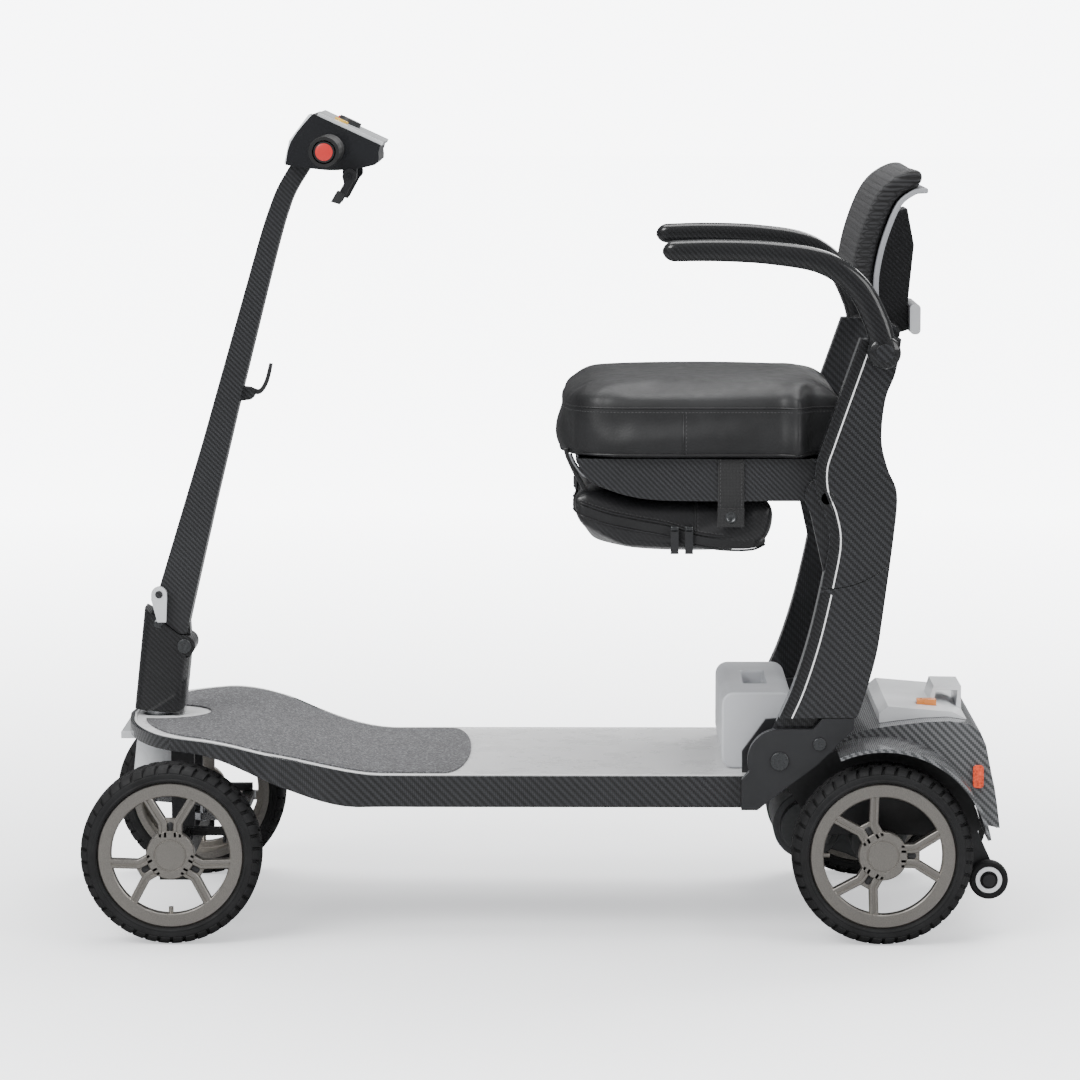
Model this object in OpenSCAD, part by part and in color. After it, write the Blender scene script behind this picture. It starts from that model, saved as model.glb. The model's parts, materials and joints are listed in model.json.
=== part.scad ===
// Folding four-wheel mobility scooter with a carbon frame.
// +Z is up, the front points to -X, the left side to -Y, and the origin is on the ground.

/* [Wheels] */
// Distance between the front and rear axles
wheelbase = 785; // [720:5:945]
// Distance between the middles of the left and right tyres
track = 435; // [430:5:525]
// Outer radius of a tyre
wheel_r = 100; // [92:1:106]
// Width of a tyre
tyre_w = 55; // [45:1:58]
// Radius at which the tyre sits on its rim
rim_r = 81; // [72:1:86]
// Radius of the hub disc
hub_r = 27; // [22:1:32]
// Radius of the wheel axles
axle_r = 8; // [6:0.1:10]
// Radius of an anti-tip wheel
tip_wheel_r = 22; // [18:1:26]

/* [Deck] */
// Height of the flat standing surface
deck_top_z = 180; // [170:1:200]
// Thickness of the deck between the wheels
deck_t = 35; // [30:1:42]
// Width of the deck between the wheels
deck_w = 370; // [340:2:370]
// Width over the wings above the front wheels
wing_w = 470; // [440:2:500]
// Thickness of the top panel
panel_t = 3; // [2:0.5:5]
// Thickness of the grip mat
mat_t = 2; // [1:0.5:4]
// Wall of the carbon shells
wall = 4; // [3:0.5:6]

/* [Seat post] */
// Height of the seat hinge above the knee hinge
post_h = 292; // [270:2:330]
// Setback of the seat hinge behind the knee hinge
post_back = 51; // [45:1:60]
// Thickness of one layer of a post arm
layer_t = 13.5; // [10:0.5:14]
// Distance between the inner faces of the arms
arm_gap = 352; // [344:2:352]
// Radius of the hinge pins of the post
hinge_pin_r = 7; // [5:0.5:9]

/* [Seat] */
// Length of the cushion
cushion_l = 321; // [300:1:330]
// Width of the cushion
cushion_w = 380; // [350:2:400]
// Thickness of the cushion
cushion_t = 75; // [50:1:90]
// Depth of the bag under the seat
bag_h = 57; // [40:1:57]
// Width of the bag under the seat
bag_w = 324; // [280:2:340]
// Width of the backrest
back_w = 330; // [280:2:344]

/* [Armrests] */
// Width of an armrest
armrest_w = 28; // [22:1:30]
// Thickness of an armrest
armrest_t = 22; // [18:1:28]
// Radius of the armrest pivot pins
armrest_pin_r = 6; // [5:0.5:8]

/* [Steering] */
// Rearward lean of the steering axis
rake = 6; // [4:0.5:8]
// Radius of the steerer
steerer_r = 15; // [12:0.5:17]
// Length of the knuckle arms and of the pitman arm
link_arm = 60; // [50:1:62]
// Radius of the pins of the linkage
link_pin_r = 4; // [3:0.5:5]
// Width of the steering column, both ways
column_w = 56; // [48:1:60]

/* [Tiller] */
// Rearward lean of the tiller tube
tiller_lean = 15; // [12:0.5:18]
// Length of the straight part of the tiller tube
tiller_l = 472; // [430:2:490]
// Width of the tiller tube across the vehicle
tube_w = 44; // [36:1:50]
// Depth of the tiller tube at its foot
tube_foot = 48; // [40:1:50]
// Depth of the tiller tube at its top
tube_top = 20; // [18:1:26]
// Radius of the tiller hinge pin
tiller_pin_r = 5; // [4:0.5:7]
// Distance between the ends of the grips
bar_w = 410; // [360:5:440]
// Radius of a grip
grip_r = 17; // [14:0.5:20]
// Radius of the handlebar
bar_r = 11; // [9:0.5:13]
// Width of the tiller head
head_w = 150; // [120:2:170]

/* [Battery] */
// Length of the battery pack, front to back
battery_l = 80; // [60:1:80]
// Width of the battery pack
battery_w = 260; // [200:2:280]
// Height of the battery pack
battery_h = 86; // [60:1:90]

/* [Fits] */
// Radial clearance of a running fit
run_gap = 0.06; // [0.03:0.01:0.1]
// Clearance between pieces that move past each other
part_gap = 0.5; // [0.4:0.1:0.6]
// Clearance between a soft piece and what it lies against
soft_gap = 0.3; // [0.2:0.1:0.5]
// Clearance of a loose pin in the steering linkage
loose_gap = 0.5; // [0.4:0.1:0.8]

/* [Hidden] */
$fn = 64;

// Main places, seen from the left side as [x, z]
axle_shift = -23.5;
front_x = axle_shift - wheelbase / 2;
rear_x = axle_shift + wheelbase / 2;
axle_z = wheel_r;
nose_top_z = 2 * wheel_r + 24;
nose_bottom_z = 2 * wheel_r + 10;
deck_bottom_z = deck_top_z - deck_t;
knee = [rear_x - 113, deck_top_z + 20];
seat_pivot = knee + [post_back, post_h];
back_pivot = seat_pivot + [71, 180];
armrest_pivot = seat_pivot + [60, 162];
tiller_pivot = [front_x, nose_top_z + 80.5];

// Layers of the arms across the vehicle
inner_y = arm_gap / 2;
lap_y = inner_y + layer_t;
outer_y = lap_y + part_gap + layer_t;
lap_r = 100;
knee_seam_r = 36;

// Wheels across the vehicle
wheel_in_y = track / 2 - tyre_w / 2;
wheel_out_y = track / 2 + tyre_w / 2;

// Steering
steer_foot_x = front_x - 31 - 217 * tan(rake);
kingpin_y = track / 2 - 62;

// ---------- helpers ----------

function curve_point(a, b, c, d, t) =
    0.5 * (2 * b + (c - a) * t + (2 * a - 5 * b + 4 * c - d) * t * t + (3 * b - a - 3 * c + d) * t * t * t);
function smooth(p, steps = 5) = concat(
    [for (i = [0:len(p) - 2]) for (k = [0:steps - 1])
        curve_point(p[max(i - 1, 0)], p[i], p[i + 1], p[min(i + 2, len(p) - 1)], k / steps)],
    [p[len(p) - 1]]);
function tangent(p, i) =
    let (v = p[min(i + 1, len(p) - 1)] - p[max(i - 1, 0)]) v / norm(v);
function normal(p, i) = let (t = tangent(p, i)) [-t[1], t[0]];
function shifted(p, d) = [for (i = [0:len(p) - 1]) p[i] + normal(p, i) * d];
function reversed(p) = [for (i = [len(p) - 1:-1:0]) p[i]];
// A band along a path, w0 wide at its start and w1 at its end; power sets how soon it narrows
function band_w(t, w0, w1, power) = w1 + (w0 - w1) * pow(1 - t, power);
function ribbon(p, w0, w1, power = 1) = let (n = len(p) - 1) concat(
    [for (i = [0:n]) p[i] + normal(p, i) * band_w(i / n, w0, w1, power) / 2],
    [for (i = [n:-1:0]) p[i] - normal(p, i) * band_w(i / n, w0, w1, power) / 2]);
function arc(c, r, a0, a1, n = 16) = [for (k = [0:n]) c + r * [cos(a0 + (a1 - a0) * k / n), sin(a0
    + (a1 - a0) * k / n)]];
function from(c, p) = [for (q = p) c + q];
function ease(t) = let (u = min(1, max(0, t))) u * u * (3 - 2 * u);
function rounded(w, h, r) = concat(
    arc([w / 2 - r, h / 2 - r], r, 0, 90, 6), arc([r - w / 2, h / 2 - r], r, 90, 180, 6),
    arc([r - w / 2, r - h / 2], r, 180, 270, 6), arc([w / 2 - r, r - h / 2], r, 270, 360, 6));

// An outline drawn in x and z, made solid from y0 to y1
module side(y0, y1) {
    translate([0, y1, 0]) rotate([90, 0, 0]) linear_extrude(y1 - y0) children();
}

// The same piece on the left and on the right
module pair() {
    children();
    mirror([0, 1, 0]) children();
}

// A piece drawn on the left, on the left for -1 and on the right for 1
module on_side(s) {
    if (s < 0) children();
    else mirror([0, 1, 0]) children();
}

// A round bar across the vehicle
module bar(at, r, y0, y1) {
    translate([at[0], y1, at[1]]) rotate([90, 0, 0]) cylinder(r = r, h = y1 - y0);
}

// A box from its middle in x and y and its lowest and highest z
module block(x, y, z0, z1, l, w) {
    translate([x - l / 2, y - w / 2, z0]) cube([l, w, z1 - z0]);
}

// The raked frame of the steering axis, z along it from the ground
module on_steer_axis() {
    translate([steer_foot_x, 0, 0]) rotate([0, rake, 0]) children();
}

// ---------- deck ----------

deck_rear_x = knee[0] - 2;
half_deck = deck_w / 2;
half_wing = wing_w / 2;
// Half of the deck's plan outline, from the middle of the nose back to the rear end
half_plan = smooth([
    [front_x - 64, 0], [front_x - 58, -70], [front_x - 42, -130], [front_x - 18, -half_wing + 55],
    [front_x + 18, -half_wing + 20], [front_x + 58, -half_wing + 1], [front_x + 104, -half_wing],
    [front_x + 142, -half_wing / 2 - half_deck / 2], [front_x + 181, -half_deck - 7],
    [front_x + 226, -half_deck], [front_x + 270, -half_deck]
]);
function plan(inset, end_x) =
    let (side_edge = [for (i = [1:len(half_plan) - 1]) half_plan[i] + normal(half_plan, i) * inset])
    let (edge = concat([[half_plan[0][0] + inset, -1]], side_edge, [[end_x, -half_deck + inset]]))
    concat(edge, [for (q = reversed(edge)) [q[0], -q[1]]]);
ramp_xs = [for (k = [0:24]) front_x - 70 + k * 13];
function top_z(x) = deck_top_z + (nose_top_z - deck_top_z) * ease((front_x + 236 - x) / 210);
function bottom_z(x) = deck_bottom_z + (nose_bottom_z - deck_bottom_z) * ease((front_x + 206 - x) / 185);
function top_curve(dz, end_x) = concat([for (x = ramp_xs) [x, top_z(x) + dz]], [[end_x, deck_top_z + dz]]);
cavity_from = front_x + 250;
cavity_to = deck_rear_x - 24;

// A layer that follows the deck's top between two offsets
module deck_layer(low, high, end_x) {
    side(-half_wing - 20, half_wing + 20)
        polygon(concat(top_curve(high, end_x), reversed(top_curve(low, end_x))));
}

module column_hole(r) {
    on_steer_axis() cylinder(r = r, h = 400);
}

module deck_shell() {
    color("#1d1e20") difference() {
        intersection() {
            linear_extrude(400) polygon(plan(0, deck_rear_x));
            side(-half_wing - 20, half_wing + 20) polygon(concat(
                top_curve(0, deck_rear_x),
                [[deck_rear_x, deck_bottom_z + 18], [deck_rear_x - 22, deck_bottom_z]],
                reversed([for (x = ramp_xs) [x, bottom_z(x)]])));
        }
        intersection() {
            linear_extrude(400) polygon(plan(8, deck_rear_x - 8));
            deck_layer(-panel_t, 60, deck_rear_x - 8);
        }
        block((cavity_from + cavity_to) / 2, 0, deck_bottom_z + wall, deck_top_z, cavity_to - cavity_from,
              deck_w - 40);
        column_hole(head_tube_r + part_gap);
    }
}

module deck_top_panel() {
    color("#f1f2f3") difference() {
        intersection() {
            linear_extrude(400) polygon(plan(8, deck_rear_x - 8));
            deck_layer(-panel_t, 0, deck_rear_x - 8);
        }
        column_hole(head_tube_r + part_gap);
    }
}

mat_end_x = front_x + 300;
mat_round = half_deck - 18;
module grip_mat() {
    color("#4a4b4d") difference() {
        intersection() {
            union() {
                linear_extrude(400) polygon(plan(18, mat_end_x));
                translate([mat_end_x, 0, 0]) linear_extrude(400) polygon(
                    [for (k = [0:20]) [26 * cos(k * 9 - 90), mat_round * sin(k * 9 - 90)]]);
            }
            deck_layer(0, mat_t, mat_end_x + 40);
        }
        column_hole(58);
    }
}

module motor_controller() {
    color("#30343a") block(knee[0] - 150, 0, deck_bottom_z + wall, deck_top_z - panel_t - 4, 150, 110);
}

// ---------- rear of the chassis ----------

rear_axle = [rear_x, axle_z];
fender_r = wheel_r + 16;
plate_in_y = 150;
plate_out_y = 158;
motor_at = [rear_x - 78, axle_z + 12];
case_r = 30;
shaft_tube_r = 16;
shaft_in_y = 95;
housing_top_z = axle_z + fender_r + 16;
tip_axle = [rear_x + 123, 60];
tip_arm_t = 12;

module knee_brackets() {
    low = knee[1] - deck_bottom_z;
    color("#26282b") pair() difference() {
        union() {
            side(-outer_y, -lap_y - part_gap) polygon(from(knee, concat(
                [[-42, -low], [-24, -low], [-2, -low + 18], [41, -5], [82, 36], [82, 48 - part_gap],
                 [47, 48 - part_gap], [37, 36 - part_gap]],
                arc([0, 0], knee_seam_r - part_gap, 90, 200, 16), [[-42, -21]])));
            side(-lap_y - part_gap, -half_deck) polygon(from(knee,
                [[-42, -low], [-24, -low], [-4, -low + 16], [-4, -21], [-42, -21]]));
        }
        bar(knee, hinge_pin_r, -outer_y - 1, -inner_y);
    }
}

module knee_pins() {
    color("#3a3c40") pair() {
        bar(knee, hinge_pin_r, -outer_y - 2, -plate_in_y);
        bar(knee, hinge_pin_r + 3, -outer_y - 3, -outer_y);
        bar(knee + [44, 19], 7, -outer_y - 3, -outer_y);
    }
}

module rear_frame() {
    color("#1b1c1e") {
        pair() difference() {
            side(-plate_out_y, -plate_in_y) polygon(concat(
                from(knee, [[-40, -20], [-2, -20], [20, -50], [44, -axle_z + 10]]),
                [[rear_x + 100, axle_z + 10]], arc(rear_axle, fender_r - part_gap, 8, 116, 20),
                from(knee, [[34, 44], [-14, 40], [-40, 4]])));
            bar(knee, hinge_pin_r, -plate_out_y - 1, -plate_in_y + 1);
            bar(rear_axle, shaft_tube_r, -plate_out_y - 1, -plate_in_y + 1);
        }
        bar([rear_x - 60, axle_z + 84], 9, -plate_in_y, plate_in_y);
        bar([rear_x + 84, axle_z + 28], 9, -plate_in_y + tip_arm_t, plate_in_y - tip_arm_t);
    }
}

module drive_motor() {
    color("#33363a") {
        bar(motor_at, 38, -110, 20);
        bar(motor_at, 30, -122, -110);
    }
}

module transaxle_case() {
    color("#202224") difference() {
        union() {
            bar(rear_axle, case_r, -plate_in_y, plate_in_y);
            bar(rear_axle, shaft_tube_r, -wheel_in_y + 10, wheel_in_y - 10);
            bar(rear_axle, 50, 20, 62);
            bar(motor_at, 40, 20, 62);
            side(20, 62) polygon([motor_at + [0, 40], motor_at - [0, 40], rear_axle - [0, 50],
                rear_axle + [0, 50]]);
        }
        bar(rear_axle, axle_r + run_gap, -wheel_in_y, 1 - shaft_in_y);
        bar(rear_axle, axle_r + run_gap, shaft_in_y - 1, wheel_in_y);
    }
}

housing_line = [[rear_x - 45, housing_top_z - 20], [rear_x - 4, housing_top_z - 5], [rear_x + 100,
    housing_top_z],
                [rear_x + 124, axle_z + 78], [rear_x + 134, axle_z + 16]];
module rear_fender() {
    shell = smooth(housing_line, 4);
    color("#232427") {
        pair() side(-wheel_out_y, -plate_in_y + 4) polygon(concat(
            arc(rear_axle, fender_r + wall, 9, 114, 30), arc(rear_axle, fender_r, 114, 9, 30)));
        side(-plate_in_y + 4, plate_in_y - 4) polygon(ribbon(shell, wall, wall));
        pair() side(-plate_in_y, -plate_in_y + 4) polygon(concat(
            shifted(shell, wall / 2), arc(rear_axle, fender_r + wall / 2, 10, 112, 30)));
    }
}

lid_z = housing_top_z + 3;
module lid_pocket() {
    translate([rear_x + 58, -70, lid_z]) children();
}

module rear_lid() {
    shell = smooth(housing_line, 4);
    color("#d9dadb") {
        difference() {
            side(-118, 118) polygon([[rear_x + 2, lid_z - 4.4], [rear_x + 2, lid_z + 6], [rear_x + 12,
                lid_z + 14],
                [rear_x + 84, lid_z + 8], [rear_x + 100, lid_z], [rear_x + 98, lid_z - 0.6]]);
            side(-120, 120) polygon(concat(shifted(shell, wall / 2 + soft_gap), [rear_axle]));
            lid_pocket() block(0, 0, 3, 40, 22 + 2 * part_gap, 16 + 2 * part_gap);
        }
        side(-40, 40) polygon(ribbon([[rear_x + 66, lid_z + 8], [rear_x + 70, lid_z + 24], [rear_x + 98,
            lid_z + 24],
            [rear_x + 97, lid_z]], 6, 6));
    }
}

button_travel = 4;
module release_button() {
    color("#f07a35") lid_pocket() block(0, 0, 3 + button_travel + part_gap, 16, 22, 16);
}

module rear_reflectors() {
    color("#d8431f") pair() side(-plate_in_y - 4, -plate_in_y)
        polygon(from([rear_x + 111, axle_z + 75], rounded(12, 26, 4)));
}

module anti_tip_arms() {
    color("#18191a") pair() {
        side(-plate_in_y, -plate_in_y + tip_arm_t) polygon([[rear_x + 70, axle_z + 14], [rear_x + 104,
            axle_z + 14],
            [rear_x + 108, axle_z + 44], [rear_x + 74, axle_z + 60]]);
        side(-plate_in_y, -plate_in_y + tip_arm_t) polygon([[rear_x + 74, axle_z + 20], tip_axle - [12,
            8], tip_axle + [0, -12],
            tip_axle + [12, 0], [rear_x + 106, axle_z + 24]]);
        bar(tip_axle, link_pin_r, -plate_in_y - 18, -plate_in_y + 2);
        bar(tip_axle, link_pin_r + 3, -plate_in_y - 18, -plate_in_y - 15.5);
    }
}

module anti_tip_wheel(s) {
    color("#2b2c2e") translate([0, s * (plate_in_y + 8), 0]) difference() {
        bar(tip_axle, tip_wheel_r, -7, 7);
        bar(tip_axle, link_pin_r + run_gap, -8, 8);
    }
}

module anti_tip_wheel_left() anti_tip_wheel(-1);
module anti_tip_wheel_right() anti_tip_wheel(1);

module battery_pack() {
    color("#b9bcc0") difference() {
        side(-battery_w / 2, battery_w / 2) polygon(from(
            [knee[0] + 18 - battery_l / 2, deck_top_z + part_gap + battery_h / 2], rounded(battery_l,
                battery_h, 14)));
        block(knee[0] + 18 - battery_l / 2, 0, deck_top_z + battery_h - 14, deck_top_z + battery_h + 5,
            26, 110);
    }
}

// ---------- front axle and steering ----------

head_tube_r = 24;
head_low = 150;
beam_z = [axle_z - 28, axle_z - 4];
link_z = axle_z + 0.5;
link_t = 8;
boss_r = 14;
pitman_s = 124;

module front_axle_beam() {
    color("#1c1d1f") difference() {
        union() {
            block(front_x, 0, beam_z[0], beam_z[1], 28, 2 * kingpin_y);
            pair() translate([front_x, -kingpin_y, beam_z[0]]) cylinder(r = boss_r,
                h = beam_z[1] - beam_z[0]);
            pair() block(front_x, -60, beam_z[1], nose_bottom_z, 26, 9);
        }
        pair() translate([front_x, -kingpin_y, 0]) cylinder(r = axle_r + run_gap, h = 200);
    }
}

module head_tube() {
    color("#d4d6d8") difference() {
        union() {
            on_steer_axis() translate([0, 0, head_low]) cylinder(r = head_tube_r,
                h = nose_top_z - head_low - 1);
            block(front_x - 26, 0, nose_bottom_z - 8, nose_bottom_z, 90, 110);
        }
        on_steer_axis() cylinder(r = steerer_r + 4, h = 400);
    }
}

module head_bearings() {
    color("#8d9196") on_steer_axis() for (s = [head_low + 1, nose_top_z - 14]) translate([0, 0,
        s]) difference() {
        cylinder(r = steerer_r + 4, h = 10);
        translate([0, 0, -1]) cylinder(r = steerer_r + run_gap, h = 12);
    }
}

column_low = nose_top_z + 6;
module steerer() {
    color("#9a9da1") on_steer_axis() {
        translate([0, 0, pitman_s]) cylinder(r = steerer_r, h = column_low - pitman_s);
        translate([0, 0, pitman_s]) linear_extrude(link_t) difference() {
            polygon([[0, -13], [link_arm, -9], [link_arm + 8, 0], [link_arm, 9], [0, 13]]);
            circle(r = steerer_r - 2);
        }
        translate([link_arm, 0, axle_z + 5.5]) cylinder(r = link_pin_r, h = pitman_s - axle_z - 4);
    }
}

module tie_rod() {
    pin_x = front_x + link_arm;
    color("#7f8387") difference() {
        union() {
            translate([0, 0, link_z]) linear_extrude(link_t) {
                translate([pin_x, 0]) square([14, 2 * kingpin_y], center = true);
                translate([pin_x, kingpin_y]) circle(r = 8);
                translate([pin_x, -kingpin_y]) circle(r = 8);
                translate([pin_x - 21, 0]) square([42, 20], center = true);
                translate([pitman_end_x, 0]) circle(r = 10);
            }
        }
        translate([pin_x, -kingpin_y, 0]) cylinder(r = link_pin_r + run_gap, h = 200);
        translate([pin_x, kingpin_y, 0]) cylinder(r = link_pin_r + loose_gap, h = 200);
        on_steer_axis() translate([link_arm, 0, 0]) cylinder(r = link_pin_r + loose_gap, h = 200);
    }
}
pitman_end_x = steer_foot_x + link_arm * cos(rake)
    + (link_z + link_t / 2 + link_arm * sin(rake)) * tan(rake);

module knuckle(s) {
    fork_y = kingpin_y + 16;
    color("#2a2c2f") on_side(s) {
        translate([front_x, -kingpin_y, axle_z - 38]) cylinder(r = axle_r, h = 54);
        block(front_x, -kingpin_y - 9, axle_z - 38, beam_z[0] - part_gap, 26, 34);
        block(front_x, -kingpin_y - 9, beam_z[1] + part_gap, axle_z + 17, 26, 34);
        block(front_x, -fork_y - 5, axle_z - 38, axle_z + 17, 34, 10);
        bar([front_x, axle_z], axle_r, -wheel_out_y + 9, -fork_y);
        block(front_x + link_arm / 2, -kingpin_y, link_z + link_t + part_gap, axle_z + 17, link_arm + 8,
            15);
        translate([front_x + link_arm, -kingpin_y, link_z]) cylinder(r = link_pin_r, h = 12);
    }
}

module knuckle_left() knuckle(-1);
module knuckle_right() knuckle(1);

// Everything above the slanted seam between the column and the tiller
seam = [[40, 13], [-6, 13], [-56, 52], [-90, 52]];
module above_seam(gap) {
    side(-column_w, column_w) polygon(from(tiller_pivot - [0, gap], concat(seam, [[-90, 160], [40, 160]])));
}

module column_shell() {
    color("#17181a") difference() {
        union() {
            difference() {
                on_steer_axis() translate([0, 0, column_low]) linear_extrude(150)
                    polygon(rounded(column_w + 1, column_w, 12));
                above_seam(part_gap);
                side(-column_w, column_w) polygon(from(tiller_pivot, [[0, -14], [40, -14], [40, 80], [0,
                    80]]));
            }
            pair() bar(tiller_pivot, 12, -column_w / 2, -tiller_knuckle_y - part_gap);
            pair() side(-column_w / 2, -tiller_knuckle_y - part_gap) polygon(from(tiller_pivot,
                [[-20, -14], [0, -14], [12, 0], [0, 12], [-20, 12]]));
        }
        bar(tiller_pivot, 13, -tiller_knuckle_y - part_gap, tiller_knuckle_y + part_gap);
        side(-tiller_knuckle_y - part_gap, tiller_knuckle_y + part_gap) polygon(from(tiller_pivot,
            [[-18, 0], [13, 0], [13, 60], [-18, 60]]));
        bar(tiller_pivot, tiller_pin_r, -column_w, column_w);
        on_steer_axis() cylinder(r = steerer_r, h = column_low + 0.01);
    }
}

tiller_knuckle_y = 13;
module tiller_hinge_pin() {
    color("#55585c") {
        bar(tiller_pivot, tiller_pin_r, -column_w / 2 - 1, column_w / 2 + 1);
        pair() bar(tiller_pivot, tiller_pin_r + 3, -column_w / 2 - 3, -column_w / 2);
    }
}

// ---------- wheels ----------

ring_r = rim_r - 15;
face_t = 14;
spoke_w = 13;
spoke_splay = 27;

module spoke_line(a, r0, r1, a1, w) {
    p = r0 * [cos(a), sin(a)];
    q = r1 * [cos(a + a1), sin(a + a1)];
    d = (q - p) / norm(q - p);
    n = [-d[1], d[0]] * w / 2;
    polygon([p + n, q + n, q - n, p - n]);
}

// A wheel's place: its axle, turned so that +z points outwards on side s
module at_wheel(x, s) {
    translate([x, s * track / 2, axle_z]) rotate([s * -90, 0, 0]) children();
}

module tyre(x, s) {
    color("#1a1a1b") at_wheel(x, s) rotate_extrude($fn = 96) polygon([
        [rim_r, -tyre_w / 2 + 5], [rim_r + 3, -tyre_w / 2], [wheel_r - 9, -tyre_w / 2 + 1],
        [wheel_r, -tyre_w / 2 + 10], [wheel_r, tyre_w / 2 - 10], [wheel_r - 9, tyre_w / 2 - 1],
        [rim_r + 3, tyre_w / 2], [rim_r, tyre_w / 2 - 5]]);
}

module rim(x, s, turn, driven) {
    face = tyre_w / 2 - 4;
    color("#a5a096") at_wheel(x, s) difference() {
        union() {
            translate([0, 0, face - face_t]) linear_extrude(face_t) difference() {
                union() {
                    difference() {
                        circle(r = rim_r);
                        circle(r = ring_r);
                    }
                    circle(r = hub_r);
                    for (a = [turn, turn + 120, turn + 240]) for (d = [-1, 1])
                        spoke_line(a + d * 6, hub_r - 8, ring_r + 4, d * (spoke_splay - 6), spoke_w);
                }
            }
            translate([0, 0, -face]) difference() {
                cylinder(r = rim_r, h = 2 * face);
                translate([0, 0, -1]) cylinder(r = rim_r - 7, h = 2 * face + 2);
            }
            translate([0, 0, -face]) cylinder(r = axle_r + 10, h = 2 * face - 2);
            if (driven) translate([0, 0, shaft_in_y - track / 2]) cylinder(r = axle_r,
                h = track / 2 - shaft_in_y);
        }
        for (a = [turn, turn + 120, turn + 240]) for (d = [-1, 1])
            translate([0, 0, face - 1.5]) linear_extrude(4)
                spoke_line(a + d * 8, hub_r + 6, ring_r - 2, d * (spoke_splay - 8), 3.5);
        translate([0, 0, face - 1]) linear_extrude(4) difference() {
            circle(r = hub_r * 0.68);
            circle(r = hub_r * 0.68 - 1.5);
        }
        if (!driven) translate([0, 0, -face - 1]) cylinder(r = axle_r + run_gap, h = 2 * face - 3);
    }
}

module tyre_front_left() tyre(front_x, -1);
module tyre_front_right() tyre(front_x, 1);
module tyre_rear_left() tyre(rear_x, -1);
module tyre_rear_right() tyre(rear_x, 1);
module rim_front_left() rim(front_x, -1, 90, false);
module rim_front_right() rim(front_x, 1, 90, false);
module rim_rear_left() rim(rear_x, -1, 0, true);
module rim_rear_right() rim(rear_x, 1, 0, true);

// ---------- tiller ----------

// A point on the middle line of the tiller tube, at a distance from its foot
function on_tube(d) = tiller_pivot + [-25, 0] + d * [sin(tiller_lean), cos(tiller_lean)];
head_at = on_tube(tiller_l) + [22, 89];
console_tilt = 24.8;
console_l = 80;

// The frame of the console's top: origin at its front edge, x towards the rear
module on_console() {
    translate([head_at[0] + 38, 0, head_at[1] + 60]) rotate([0, console_tilt, 0]) children();
}

// The tube's tapering outline, which the head is cut for
module tube_shape() {
    top = on_tube(tiller_l);
    side(-tube_w / 2, tube_w / 2) polygon(ribbon(
        smooth([on_tube(0), on_tube(tiller_l / 4), on_tube(tiller_l / 2), on_tube(tiller_l * 0.75), top,
                top + [14, 45], top + [24, 68], head_at + [20, 8]], 4), tube_foot, tube_top, 3));
}

module tiller_tube() {
    color("#17181a") difference() {
        union() {
            difference() {
                tube_shape();
                side(-tube_w, tube_w) polygon(from(tiller_pivot, concat(seam, [[-90, -60], [40, -60]])));
            }
            side(-tiller_knuckle_y, tiller_knuckle_y) polygon(from(tiller_pivot,
                concat(arc([0, 0], 12, -100, 60, 12), [[4, 40], [-14, 40], [-11, 14]])));
            hook_ears();
            bar(latch_pivot, 4, -column_w / 2 - 9, -tube_w / 2 + 4);
        }
        bar(tiller_pivot, tiller_pin_r + run_gap, -40, 40);
    }
}

module tiller_head() {
    color("#232427") lever_ears();
    color("#232427") difference() {
        side(-head_w / 2, head_w / 2) polygon(from(head_at, smooth([
            [2, 4], [8, 30], [30, 58], [38, 60], [60, 50], [104, 30], [106, 18], [102, 4], [60, -2], [30,
                0], [2, 4]], 3)));
        bar(handle_at, bar_r, -head_w, head_w);
        tube_shape();
        lens_shape();
        on_console() block(console_l / 2, 0, -1, 40, console_l + 60, head_w + 10);
        on_console() console_pockets(-7, 10, 1);
    }
}

handle_at = head_at + [52, 22];

module handlebar() {
    color("#2d2f32") bar(handle_at, bar_r, -bar_w / 2 + 4, bar_w / 2 - 4);
}

module handle_grips() {
    color("#161617") pair() difference() {
        bar(handle_at, grip_r, -bar_w / 2, -bar_w / 2 + 108);
        bar(handle_at, bar_r, -bar_w / 2 + 4, 0);
    }
}

// Pockets in the console for its two buttons and its dial
module console_pockets(z0, z1, grow) {
    for (y = [-38, 38]) translate([26, y, z0]) cylinder(r = 8 + grow * part_gap, h = z1 - z0);
    translate([34, 0, z0]) cylinder(r = 13 + grow * part_gap, h = z1 - z0);
}

module console_cover() {
    color("#cfd1d2") on_console() difference() {
        translate([0, -head_w / 2 + 3, -1]) cube([console_l, head_w - 6, 4]);
        console_pockets(-7, 10, 1);
    }
}

module power_button() {
    color("#c9302c") on_console() translate([26, 38, -1.5]) cylinder(r = 8, h = 7);
}

module horn_button() {
    color("#e0a526") on_console() translate([26, -38, -1.5]) cylinder(r = 8, h = 7);
}

module speed_dial() {
    color("#2c2d30") on_console() translate([34, 0, -1.5]) difference() {
        cylinder(r = 13, h = 10);
        translate([5, -1, 8.5]) cube([10, 2, 3]);
    }
}

module lens_shape() {
    side(-30, 30) polygon(from(head_at,
        [[-2.2, 4], [3.4, 30], [25.6, 59.6], [29.2, 57.4], [7.6, 29.4], [1.8, 4]]));
}

module headlight_lens() {
    color("#f4f6f8") lens_shape();
}

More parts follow.
